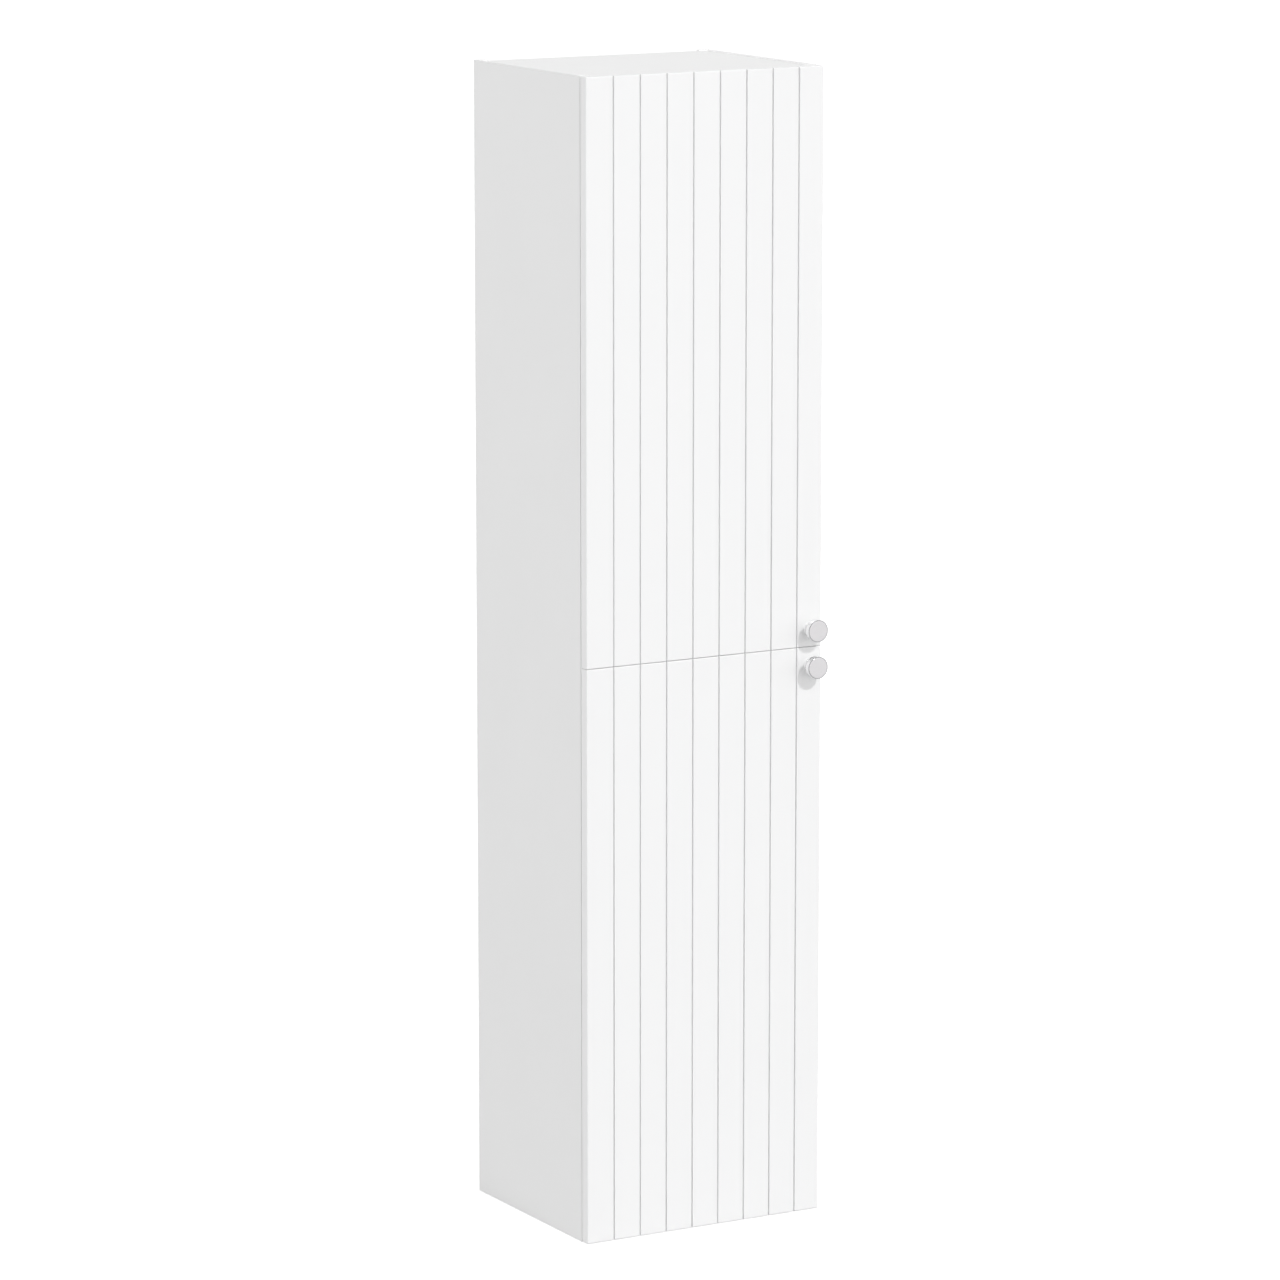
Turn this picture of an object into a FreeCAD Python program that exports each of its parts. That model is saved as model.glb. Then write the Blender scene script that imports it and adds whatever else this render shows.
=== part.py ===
import FreeCAD, Part
import Sketcher
import os
import re

# A tall wall-hung bathroom cabinet: a board carcass with two stacked, slatted doors.
# Millimetres, +Z up, +Y towards the wall, origin under the middle of the whole box.
# The doors hang on the left on concealed cup hinges and have round knobs on the right.

doc = FreeCAD.newDocument("TallCabinet")
sheet = doc.addObject("Spreadsheet::Sheet", "sizes")
Vector = FreeCAD.Vector

# ---------------------------------------------------------------- driving sizes
SIZES = [
    ("width", 350), ("depth", 300), ("height", 1520),
    ("board", 16), ("door_board", 15), ("back_board", 3),
    # doors: gaps round them and their slatted face
    ("door_gap", 1.5), ("door_foot", 1), ("door_head", 0.5),
    ("split_height", 762), ("split_gap", 2), ("door_edge_radius", 1.5),
    ("groove_count", 8), ("groove_pitch", 39.1), ("groove_width", 2.4), ("groove_depth", 3),
    ("groove_offset", 1.2),
    # top board, dropped between the lips of the side panels
    ("lip", 3), ("top_drop", 2), ("rebate_front", 15), ("rebate_rear", 8.5),
    # back board in its slots, and the board behind it
    ("back_inset", 17), ("slot_depth", 6), ("slot_play", 0.3), ("notch_half", 12),
    ("rail_height", 60), ("rail_hole_radius", 3), ("rail_hole_inset", 45),
    # rows of holes for shelf supports, and the clear height under the low and over the high shelf
    ("row_radius", 2.5), ("row_depth", 10), ("row_pitch", 32),
    ("row_front", 37), ("row_rear", 40), ("row_start", 128), ("row_end", 140),
    ("low_shelf_clear", 220), ("high_shelf_clear", 230),
    ("shelf_setback", 15), ("shelf_play", 1), ("support_play", 0.05), ("support_reach", 9),
    ("support_tab", 9), ("support_thick", 3),
    # knobs
    ("knob_reach", 24), ("knob_radius", 14.6), ("knob_head", 9), ("knob_bevel", 1),
    ("knob_neck", 6), ("knob_foot_radius", 8), ("knob_foot_edge", 1.5), ("knob_foot", 3),
    ("knob_inset", 18.3), ("knob_offset", 24.3), ("knob_thread", 2), ("knob_bite", 8),
    ("knob_head_radius", 4), ("knob_head_sink", 3),
    ("knob_drive_long", 5), ("knob_drive_wide", 1), ("knob_drive_deep", 1.2),
    # bumpers on the doors
    ("bumper_radius", 4), ("bumper_thick", 1.2), ("bumper_inset", 30),
    # cup hinges: the cup, seen from the door's hinge edge and its back face
    ("hinge_inset", 100), ("cup_centre", 21.5), ("cup_radius", 17.5), ("cup_depth", 11.2),
    ("cup_play", 0.3), ("cup_wall", 0.8), ("cup_bore_extra", 0.3),
    ("flange_start", 21), ("flange_end", 37), ("flange_half", 28), ("flange_thick", 0.8),
    ("flange_screw", 9.5), ("flange_screw_half", 22.5),
    # hinge pivots: along the door from its hinge edge, and behind its back face
    ("cup_pivot_x", 9.9), ("cup_pivot_y", -1.5), ("knee_x", 15.95), ("knee_y", -1.15),
    ("arm_pivot_x", 37.3), ("arm_pivot_y", 12.6), ("nose_pivot_x", 33.1),
    ("nose_pivot_y", -6.7), ("follower_end_x", 14.3), ("follower_end_y", -4.5),
    ("nose_neck_x", 33.6), ("nose_neck_y", 3),
    # hinge layers, from the hinge's middle plane
    ("follower_half", 2.4), ("layer_play", 0.4), ("link_plate", 1.2), ("cheek", 1.2),
    ("link_radius", 2), ("link_half", 1.5), ("follower_thick", 0.75), ("nose_radius", 2.1),
    ("elbow_radius", 2.8), ("pivot_radius", 1.1), ("pivot_play", 0.05),
    ("link_web", 0.8), ("link_web_start", 8), ("link_web_long", 9),
    # hinge arm and its mounting plate
    ("arm_top", 38.4), ("arm_foot", 25), ("arm_front", 14), ("arm_length", 44),
    ("arm_neck_tall", 10), ("arm_neck_lap", 1), ("arm_roof_setback", 4),
    ("plate_thick", 1.8), ("plate_half", 24), ("plate_front", 20), ("plate_length", 44),
    ("plate_wing", 16), ("wing_half", 7), ("block_half", 4), ("block_play", 0.4),
    ("adjuster_front", 23), ("adjuster_rear", 50), ("adjuster_radius", 1.8),
    ("adjuster_head", 3.6), ("adjuster_cap", 1.6), ("adjuster_bite", 10),
    ("adjuster_drive_long", 5), ("adjuster_drive_wide", 0.8),
    # screws, dowels and cams
    ("screw_radius", 1.9), ("screw_play", 0.2), ("screw_head", 3.8), ("screw_cone", 1.8),
    ("cup_screw_length", 11), ("plate_screw_length", 12),
    ("cam_radius", 7.3), ("cam_play", 0.2), ("cam_depth", 12), ("cam_reach", 34),
    ("cam_front", 60), ("cam_rear", 190), ("cam_dowel_radius", 3), ("cam_thread_radius", 2.4),
    ("cam_drive_long", 8), ("cam_drive_wide", 1.2), ("cam_drive_deep", 1.5),
    ("cam_dowel_gap", 2), ("cam_thread", 10),
    ("wood_dowel_radius", 4), ("wood_dowel", 30), ("wood_dowel_in_side", 11),
    ("wood_front", 92), ("wood_rear", 158), ("dowel_play", 0.1),
    # corner blocks under the top board
    ("corner_block", 18), ("corner_front", 40), ("corner_rear", 150), ("corner_edge", 3),
    ("corner_bite", 9), ("corner_spread", 4), ("pilot_depth", 12),
    # concealed wall hangers and the rail on the wall
    ("hanger_wide", 15), ("hanger_deep", 28), ("hanger_tall", 56), ("hanger_drop", 6),
    ("hanger_edge", 2), ("hanger_screw_inset", 11.2),
    ("hook_wide", 9), ("hook_thick", 2.5), ("hook_root", 12),
    ("hook_play", 0.3), ("hook_down", 8), ("wall_rail_thick", 2), ("wall_rail_tall", 30),
    ("wall_rail_reach", 9), ("hook_foot_gap", 1), ("wall_rail_end", 8),
    ("wall_hole_radius", 3.25), ("wall_hole_half", 120), ("hanger_screw_length", 24),
]

# sizes that follow from the ones above
DERIVED = [
    ("front_y", "(knob_reach - depth) / 2"),
    ("left_x", "-width / 2"),
    ("right_x", "width / 2"),
    ("back_face_y", "front_y + door_board"),
    ("carcass_y", "back_face_y + door_gap"),
    ("rear_y", "front_y + depth"),
    ("carcass_depth", "rear_y - carcass_y"),
    ("inner_width", "width - 2 * board"),
    ("inner_left", "left_x + board"),
    ("inner_right", "right_x - board"),
    ("top_base", "height - top_drop - board"),
    ("middle_base", "split_height - board / 2"),
    ("middle_roof", "split_height + board / 2"),
    ("slot_wide", "back_board + slot_play"),
    ("slot_y", "carcass_depth - back_inset - slot_wide"),
    ("inner_depth", "slot_y"),
    ("back_y", "carcass_y + slot_y + slot_play / 2"),
    ("lower_door_base", "door_foot"),
    ("lower_door_tall", "split_height - split_gap / 2 - door_foot"),
    ("upper_door_base", "split_height + split_gap / 2"),
    ("upper_door_tall", "height - door_head - upper_door_base"),
    ("first_groove", "(width - (groove_count - 1) * groove_pitch) / 2 + groove_offset"),
    ("shelf_wide", "inner_width - 2 * shelf_play"),
    ("shelf_deep", "inner_depth - shelf_setback - shelf_play"),
    ("support_rise", "support_thick / 2"),
    ("row_rear_y", "inner_depth - row_rear"),
    ("lower_roof", "middle_base - board"),
    ("upper_roof", "top_base - middle_roof"),
    ("lower_row_count", "floor((lower_roof - row_end - row_start) / row_pitch) + 1"),
    ("upper_row_count", "floor((upper_roof - row_end - row_start) / row_pitch) + 1"),
    ("low_shelf_up", "row_start + ceil((low_shelf_clear - row_start) / row_pitch) * row_pitch"),
    ("lower_high_room", "lower_roof - high_shelf_clear - board - row_start"),
    ("upper_high_room", "upper_roof - high_shelf_clear - board - row_start"),
    ("lower_high_up", "row_start + floor(lower_high_room / row_pitch) * row_pitch"),
    ("upper_high_up", "row_start + floor(upper_high_room / row_pitch) * row_pitch"),
    ("link_in", "follower_half + layer_play"),
    ("link_out", "link_in + link_plate"),
    ("cheek_in", "link_out + layer_play"),
    ("cheek_out", "cheek_in + cheek"),
    ("plate_screw_y", "door_gap + row_front"),
    ("block_top", "arm_top - cheek - block_play"),
    ("cup_bore_depth", "cup_depth + cup_bore_extra"),
    ("screw_hole", "screw_radius + screw_play"),
    ("back_edge", "slot_depth - slot_play"),
    ("hanger_base", "top_base - hanger_drop - hanger_tall"),
    ("hook_base", "hanger_base + hanger_tall / 2"),
    ("hanger_y", "carcass_y + slot_y - hanger_deep"),
    ("wall_rail_lip", "hook_down + hook_foot_gap + 2 * wall_rail_thick"),
    ("wall_rail_base", "hook_base - wall_rail_tall - wall_rail_lip + wall_rail_thick"),
]

ALIASES = {name for name, text in SIZES + DERIVED}


def bound(text):
    """The same expression with each size's name pointing at its cell."""
    def point(match):
        word = match.group(0)
        return "sizes." + word if word in ALIASES else word
    return re.sub(r"[a-z][a-z0-9_]*", point, str(text))


def fill_sheet():
    """Write every driving and derived size into the sheet."""
    for row, (name, value) in enumerate(SIZES + DERIVED, start=1):
        text = str(value)
        if isinstance(value, str):
            text = "=" + value
        sheet.set("A%d" % row, name)
        sheet.set("B%d" % row, text)
        sheet.setAlias("B%d" % row, name)
    doc.recompute()


fill_sheet()


def size(text):
    """The number that an expression of sizes gives."""
    return float(sheet.evalExpression(bound(text).replace("sizes.", "")))


def bind(thing, **sizes):
    """Bind properties to expressions of sizes; two underscores stand for a dot."""
    for name, text in sizes.items():
        thing.setExpression(name.replace("__", "."), bound(text))


def place(thing, x="0", y="0", z="0"):
    """Put a piece at a bound position."""
    bind(thing, Placement__Base__x=x, Placement__Base__y=y, Placement__Base__z=z)
    return thing


# ---------------------------------------------------------------- sketches and bodies
def new_body(name):
    """An empty body that is built up from sketches."""
    body = doc.addObject("PartDesign::Body", name)
    body.Label = name
    return body


def origin_feature(body, role):
    """One of the body's own origin planes or axes."""
    return [item for item in body.Origin.OriginFeatures if item.Role == role][0]


def new_sketch(body, name, role, offset=None):
    """A sketch on one of the body's origin planes, moved along its normal by an expression."""
    sketch = body.newObject("Sketcher::SketchObject", body.Name + "_" + name)
    sketch.AttachmentSupport = [(origin_feature(body, role), "")]
    sketch.MapMode = "FlatFace"
    if offset is not None:
        sketch.setExpression("AttachmentOffset.Base.z", bound(offset))
    return sketch


def pin_point(sketch, geometry, vertex, x, y):
    """Hold a sketch point at bound distances from the sketch's origin."""
    for kind, axis, text in (("DistanceX", -2, x), ("DistanceY", -1, y)):
        if text == "0":
            sketch.addConstraint(Sketcher.Constraint("PointOnObject", geometry, vertex, axis))
        else:
            row = sketch.addConstraint(
                Sketcher.Constraint(kind, -1, 1, geometry, vertex, size(text)))
            sketch.setExpression("Constraints[%d]" % row, bound(text))


def add_outline(sketch, points):
    """A closed outline of straight edges through bound points."""
    first = sketch.GeometryCount
    spots = [Vector(size(x), size(y), 0) for x, y in points]
    for index, start in enumerate(spots):
        end = spots[(index + 1) % len(spots)]
        sketch.addGeometry(Part.LineSegment(start, end), False)
    for index in range(len(spots)):
        following = first + (index + 1) % len(spots)
        sketch.addConstraint(Sketcher.Constraint("Coincident", first + index, 2, following, 1))
    for index, (x, y) in enumerate(points):
        pin_point(sketch, first + index, 1, x, y)


def add_circles(sketch, centres, radius):
    """Circles of one bound radius at bound centres."""
    for x, y in centres:
        circle = sketch.GeometryCount
        shape = Part.Circle(Vector(size(x), size(y), 0), Vector(0, 0, 1), size(radius))
        sketch.addGeometry(shape, False)
        pin_point(sketch, circle, 3, x, y)
        row = sketch.addConstraint(Sketcher.Constraint("Radius", circle, size(radius)))
        sketch.setExpression("Constraints[%d]" % row, bound(radius))


def rectangle(x0, y0, x1, y1):
    """The corners of an upright rectangle, as expressions."""
    return [(x0, y0), (x1, y0), (x1, y1), (x0, y1)]


def pad(body, sketch, length):
    """Raise a sketch into a solid."""
    feature = body.newObject("PartDesign::Pad", sketch.Name + "_pad")
    feature.Profile = sketch
    bind(feature, Length=length)
    doc.recompute()
    return feature


def pocket(body, sketch, length, towards_normal=False):
    """Cut a sketch into the body and make sure that it takes material away."""
    before = body.Shape.Volume
    feature = body.newObject("PartDesign::Pocket", sketch.Name + "_cut")
    feature.Profile = sketch
    feature.Reversed = towards_normal
    bind(feature, Length=length)
    doc.recompute()
    if feature.Shape.isNull() or feature.Shape.Volume >= before - 1e-6:
        raise RuntimeError(feature.Name + " cuts nothing")
    return feature


def row_of(body, feature, role, pitch, count):
    """Repeat a feature in a straight row."""
    pattern = body.newObject("PartDesign::LinearPattern", feature.Name + "_row")
    pattern.Originals = [feature]
    pattern.Direction = (origin_feature(body, role), [""])
    pattern.Mode = "Spacing"
    bind(pattern, Offset=pitch, Occurrences=count)
    body.Tip = pattern
    doc.recompute()
    return pattern


def edge_names(shape, wanted):
    """The names of the edges that pass a test."""
    return ["Edge%d" % (i + 1) for i, edge in enumerate(shape.Edges) if wanted(edge)]


# ---------------------------------------------------------------- plain solids
TURNS = {
    "+z": FreeCAD.Rotation(),
    "-z": FreeCAD.Rotation(Vector(1, 0, 0), 180),
    "+x": FreeCAD.Rotation(Vector(0, 1, 0), 90),
    "-x": FreeCAD.Rotation(Vector(0, 1, 0), -90),
    "+y": FreeCAD.Rotation(Vector(1, 0, 0), -90),
    "-y": FreeCAD.Rotation(Vector(1, 0, 0), 90),
}
OPPOSITE = {"+x": "-x", "-x": "+x", "+y": "-y", "-y": "+y", "+z": "-z", "-z": "+z"}


def block(name, x, y, z, length, width, height):
    """A box from its lowest corner."""
    solid = doc.addObject("Part::Box", name)
    bind(solid, Length=length, Width=width, Height=height)
    return place(solid, x, y, z)


def rod(name, x, y, z, towards, radius, length):
    """A cylinder from the middle of one end."""
    solid = doc.addObject("Part::Cylinder", name)
    bind(solid, Radius=radius, Height=length)
    solid.Placement.Rotation = TURNS[towards]
    return place(solid, x, y, z)


def cone(name, x, y, z, towards, radius_1, radius_2, length):
    """A truncated cone from the middle of its first end."""
    solid = doc.addObject("Part::Cone", name)
    bind(solid, Radius1=radius_1, Radius2=radius_2, Height=length)
    solid.Placement.Rotation = TURNS[towards]
    return place(solid, x, y, z)


def cut(name, base, tool):
    """The first solid less the second."""
    solid = doc.addObject("Part::Cut", name)
    solid.Base = base
    solid.Tool = tool
    return solid


def fuse(name, shapes):
    """Several solids joined into one."""
    solid = doc.addObject("Part::MultiFuse", name)
    solid.Shapes = shapes
    solid.Refine = True
    return solid


def group(name, solids):
    """Separate solids that share one node."""
    pieces = doc.addObject("Part::Compound", name)
    pieces.Links = solids
    return pieces


PARTS = []


def keep(thing, name):
    """Name a finished sub-part."""
    thing.Label = name
    PARTS.append(thing)
    return thing


# ---------------------------------------------------------------- carcass boards
HINGE_HEIGHTS = {
    "upper_door_top_hinge": "upper_door_base + upper_door_tall - hinge_inset",
    "upper_door_bottom_hinge": "upper_door_base + hinge_inset",
    "lower_door_top_hinge": "lower_door_base + lower_door_tall - hinge_inset",
    "lower_door_bottom_hinge": "lower_door_base + hinge_inset",
}
FIXED_BOARDS = {"bottom": "0", "middle": "middle_base"}
COMPARTMENT_FLOORS = {"lower": "board", "upper": "middle_roof"}
HANGER_SCREWS = {"low": "hanger_screw_inset", "high": "hanger_tall - hanger_screw_inset"}


def side_panel(name, on_left):
    """A full-height side with the top board's rebate, the back's slot and its drillings."""
    body = new_body(name)
    inner = "board" if on_left else "0"
    outline = new_sketch(body, "outline", "XY_Plane")
    add_outline(outline, rectangle("0", "0", "board", "carcass_depth"))
    pad(body, outline, "height")

    rebate = new_sketch(body, "rebate", "XY_Plane", "height")
    shelf_x = ("lip", "board") if on_left else ("0", "board - lip")
    add_outline(rebate, rectangle(shelf_x[0], "rebate_front",
                                  shelf_x[1], "carcass_depth - rebate_rear"))
    pocket(body, rebate, "top_drop + board")

    slot = new_sketch(body, "slot", "XY_Plane")
    slot_x = ("board - slot_depth", "board") if on_left else ("0", "slot_depth")
    add_outline(slot, rectangle(slot_x[0], "slot_y", slot_x[1], "slot_y + slot_wide"))
    pocket(body, slot, "height", towards_normal=True)

    for compartment, floor in COMPARTMENT_FLOORS.items():
        holes = new_sketch(body, compartment + "_row", "YZ_Plane", inner)
        add_circles(holes, [("row_front", floor + " + row_start"),
                            ("row_rear_y", floor + " + row_start")], "row_radius")
        first = pocket(body, holes, "row_depth", towards_normal=not on_left)
        row_of(body, first, "Z_Axis", "row_pitch", compartment + "_row_count")

    fixings = new_sketch(body, "cam_dowel_holes", "YZ_Plane", inner)
    add_circles(fixings, [(y, base + " + board / 2") for base in FIXED_BOARDS.values()
                          for y in ("cam_front", "cam_rear")], "cam_thread_radius + dowel_play")
    pocket(body, fixings, "cam_thread + dowel_play", towards_normal=not on_left)
    dowels = new_sketch(body, "wood_dowel_holes", "YZ_Plane", inner)
    add_circles(dowels, [(y, base + " + board / 2") for base in FIXED_BOARDS.values()
                         for y in ("wood_front", "wood_rear")], "wood_dowel_radius + dowel_play")
    pocket(body, dowels, "wood_dowel_in_side + dowel_play", towards_normal=not on_left)

    screws = [("hanger_y - carcass_y + hanger_deep / 2", "hanger_base + " + height)
              for height in HANGER_SCREWS.values()]
    screws += [(y + " + corner_block / 2 - corner_spread", "top_base - corner_block / 2")
               for y in ("corner_front", "corner_rear")]
    if on_left:
        screws += [("row_front", "%s + %s" % (height, offset))
                   for height in HINGE_HEIGHTS.values() for offset in ("plate_wing", "-plate_wing")]
    pilots = new_sketch(body, "screw_holes", "YZ_Plane", inner)
    add_circles(pilots, screws, "screw_hole")
    pocket(body, pilots, "pilot_depth", towards_normal=not on_left)

    x = "left_x" if on_left else "inner_right"
    return keep(place(body, x, "carcass_y", "0"), name)


def top_panel():
    """The top board: its ends lap over the rebates of the side panels."""
    body = new_body("top_panel")
    outline = new_sketch(body, "outline", "XY_Plane")
    reach = "(board - lip)"
    front, rear = "rebate_front", "carcass_depth - rebate_rear"
    add_outline(outline, [
        ("0", "0"), ("inner_width", "0"), ("inner_width", front),
        ("inner_width + " + reach, front), ("inner_width + " + reach, rear),
        ("inner_width", rear), ("inner_width", "carcass_depth"), ("0", "carcass_depth"),
        ("0", rear), ("-" + reach, rear), ("-" + reach, front), ("0", front)])
    pad(body, outline, "board")
    slot = new_sketch(body, "slot", "XY_Plane")
    add_outline(slot, rectangle("-slot_depth", "slot_y", "inner_width + slot_depth",
                                "slot_y + slot_wide"))
    pocket(body, slot, "slot_depth", towards_normal=True)
    holes = new_sketch(body, "screw_holes", "XY_Plane")
    add_circles(holes, [(x, y + " + corner_block / 2 + corner_spread")
                        for x in ("corner_block / 2", "inner_width - corner_block / 2")
                        for y in ("corner_front", "corner_rear")], "screw_hole")
    pocket(body, holes, "pilot_depth", towards_normal=True)
    return keep(place(body, "inner_left", "carcass_y", "top_base"), "top_panel")


def fixed_board(name, depth, base, slotted):
    """A board between the sides, held by cams and dowels from below."""
    body = new_body(name)
    outline = new_sketch(body, "outline", "XY_Plane")
    add_outline(outline, rectangle("0", "0", "inner_width", depth))
    pad(body, outline, "board")
    cams = new_sketch(body, "cam_holes", "XY_Plane")
    add_circles(cams, [(x, y) for x in ("cam_reach", "inner_width - cam_reach")
                       for y in ("cam_front", "cam_rear")], "cam_radius + cam_play")
    pocket(body, cams, "cam_depth + cam_play", towards_normal=True)
    for end, offset in (("left", "0"), ("right", "inner_width")):
        inward = end == "left"
        for kind, spots, radius, depth_in in (
                ("cam", ("cam_front", "cam_rear"), "cam_dowel_radius + dowel_play", "cam_reach"),
                ("wood", ("wood_front", "wood_rear"), "wood_dowel_radius + dowel_play",
                 "wood_dowel - wood_dowel_in_side + dowel_play")):
            bores = new_sketch(body, "%s_bores_%s" % (kind, end), "YZ_Plane", offset)
            add_circles(bores, [(y, "board / 2") for y in spots], radius)
            pocket(body, bores, depth_in, towards_normal=inward)
    if slotted:
        slot = new_sketch(body, "slot", "XY_Plane", "board")
        add_outline(slot, rectangle("0", "slot_y", "inner_width", "slot_y + slot_wide"))
        pocket(body, slot, "slot_depth")
    return keep(place(body, "inner_left", "carcass_y", base), name)


def back_panel():
    """A thin board in the slots, notched near the top corners for the hanger hooks."""
    body = new_body("back_panel")
    outline = new_sketch(body, "outline", "XY_Plane")
    add_outline(outline, rectangle("0", "0", "inner_width + 2 * back_edge", "back_board"))
    pad(body, outline, "top_base - board + 2 * back_edge")
    low = "hook_base - notch_half - board + back_edge"
    for end, x0, x1 in (
            ("left", "back_edge", "back_edge + hanger_wide"),
            ("right", "back_edge + inner_width - hanger_wide", "back_edge + inner_width")):
        notch = new_sketch(body, "notch_" + end, "XY_Plane", low)
        add_outline(notch, rectangle(x0, "0", x1, "back_board"))
        pocket(body, notch, "2 * notch_half", towards_normal=True)
    place(body, "inner_left - back_edge", "back_y", "board - back_edge")
    return keep(body, "back_panel")


def rear_rail():
    """The board behind the back at the foot, with two holes for wall screws."""
    body = new_body("lower_rear_rail")
    outline = new_sketch(body, "outline", "XY_Plane")
    add_outline(outline, rectangle("0", "0", "inner_width", "back_inset"))
    pad(body, outline, "rail_height")
    holes = new_sketch(body, "holes", "XZ_Plane")
    add_circles(holes, [("rail_hole_inset", "rail_height / 2"),
                        ("inner_width - rail_hole_inset", "rail_height / 2")],
                "rail_hole_radius")
    pocket(body, holes, "back_inset")
    return keep(place(body, "inner_left", "rear_y - back_inset", "board"), "lower_rear_rail")


def adjustable_shelf(name, floor, up):
    """A loose shelf on four supports, some height above its compartment's floor."""
    body = new_body(name)
    outline = new_sketch(body, "outline", "XY_Plane")
    add_outline(outline, rectangle("0", "0", "shelf_wide", "shelf_deep"))
    pad(body, outline, "board")
    base = "%s + %s + support_rise" % (floor, up)
    return keep(place(body, "inner_left + shelf_play", "carcass_y + shelf_setback", base), name)


SHELVES = [
    ("upper_compartment_high_shelf", "middle_roof", "upper_high_up"),
    ("upper_compartment_low_shelf", "middle_roof", "low_shelf_up"),
    ("lower_compartment_high_shelf", "board", "lower_high_up"),
    ("lower_compartment_low_shelf", "board", "low_shelf_up"),
]


def shelf_supports():
    """Pins in the row holes with a flat tab under each shelf corner."""
    pieces = []
    for shelf, floor, up in SHELVES:
        z = "%s + %s" % (floor, up)
        for end, face, outwards, inward in board_ends():
            tab_x = face if inward > 0 else face + " - support_tab"
            for row, row_y in (("front", "row_front"), ("rear", "row_rear_y")):
                name = "%s_%s_%s" % (shelf, end, row)
                y = "carcass_y + " + row_y
                pin = rod(name + "_pin", face, y, z, outwards,
                          "row_radius - support_play", "support_reach")
                tab = block(name + "_tab", tab_x, y + " - support_tab / 2",
                            z + " - support_rise", "support_tab", "support_tab", "support_thick")
                pieces.append(fuse(name + "_support", [pin, tab]))
    return keep(group("shelf_supports", pieces), "shelf_supports")


# ---------------------------------------------------------------- board fixings
def board_ends():
    """Each end of the fixed boards: its side, the x of its face and the way outwards."""
    return [("left", "inner_left", "-x", 1), ("right", "inner_right", "+x", -1)]


def cam_fixings():
    """Cam locks with their dowels, and wooden dowels, at both ends of the fixed boards."""
    cams, dowels, pegs = [], [], []
    for board, base in FIXED_BOARDS.items():
        z = base + " + board / 2"
        for end, face, outwards, inward in board_ends():
            inwards = OPPOSITE[outwards]
            centre = "%s + %d * cam_reach" % (face, inward)
            peg_start = "%s - %d * wood_dowel_in_side" % (face, inward)
            for row in ("front", "rear"):
                name = "%s_%s_%s" % (board, end, row)
                y = "carcass_y + cam_" + row
                drum = rod(name + "_drum", centre, y, base, "+z", "cam_radius", "cam_depth")
                slot = rod(name + "_slot", face, y, z, inwards,
                           "cam_dowel_radius + dowel_play", "cam_reach")
                drive = block(name + "_drive", centre + " - cam_drive_long / 2",
                              y + " - cam_drive_wide / 2", base,
                              "cam_drive_long", "cam_drive_wide", "cam_drive_deep")
                cams.append(cut(name + "_cam", drum, fuse(name + "_cam_cuts", [slot, drive])))
                thread = rod(name + "_thread", face, y, z, outwards,
                             "cam_thread_radius", "cam_thread")
                shank = rod(name + "_shank", face, y, z, inwards,
                            "cam_dowel_radius", "cam_reach - cam_dowel_gap")
                dowels.append(fuse(name + "_dowel", [thread, shank]))
                pegs.append(rod(name + "_peg", peg_start, "carcass_y + wood_" + row, z, inwards,
                                "wood_dowel_radius", "wood_dowel"))
    keep(group("cam_locks", cams), "cam_locks")
    keep(group("cam_dowels", dowels), "cam_dowels")
    keep(group("wooden_dowels", pegs), "wooden_dowels")


def countersunk_screw(name, x, y, z, towards, length):
    """A screw from the face that its head is flush with."""
    head = cone(name + "_head", x, y, z, towards, "screw_head", "screw_radius", "screw_cone")
    shank = rod(name + "_shank", x, y, z, towards, "screw_radius", length)
    return fuse(name, [head, shank])


def countersink(name, x, y, z, towards, length):
    """The hole for a countersunk screw, wider all round by the screw's play."""
    head = cone(name + "_head", x, y, z, towards, "screw_head + screw_play",
                "screw_hole", "screw_cone")
    shank = rod(name + "_shank", x, y, z, towards, "screw_hole", length)
    return fuse(name, [head, shank])


def flush_screw(name, x, y, z, towards, length, plate):
    """A screw whose cone fills the countersink of a thin plate."""
    head = cone(name + "_head", x, y, z, towards, "screw_head", "screw_radius", plate)
    shank = rod(name + "_shank", x, y, z, towards, "screw_radius", length)
    return fuse(name, [head, shank])


def round_screw(name, x, y, z, towards, length):
    """A screw whose flat round head lies on the face that it starts from."""
    head = rod(name + "_head", x, y, z, OPPOSITE[towards], "screw_head", "adjuster_cap")
    shank = rod(name + "_shank", x, y, z, towards, "screw_radius", length)
    return fuse(name, [head, shank])


def bevelled_block(name, x, y, z, edge_x):
    """A corner block whose low inner edge is bevelled."""
    solid = block(name + "_body", x, y, z, "corner_block", "corner_block", "corner_block")
    doc.recompute()
    names = edge_names(solid.Shape, lambda edge: all(
        abs(v.X - size(edge_x)) < 1e-6 and abs(v.Z - size(z)) < 1e-6 for v in edge.Vertexes))
    bevel = doc.addObject("Part::Chamfer", name + "_bevel")
    bevel.Base = solid
    width = size("corner_edge")
    bevel.Edges = [(int(edge.replace("Edge", "")), width, width) for edge in names]
    return bevel


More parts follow.
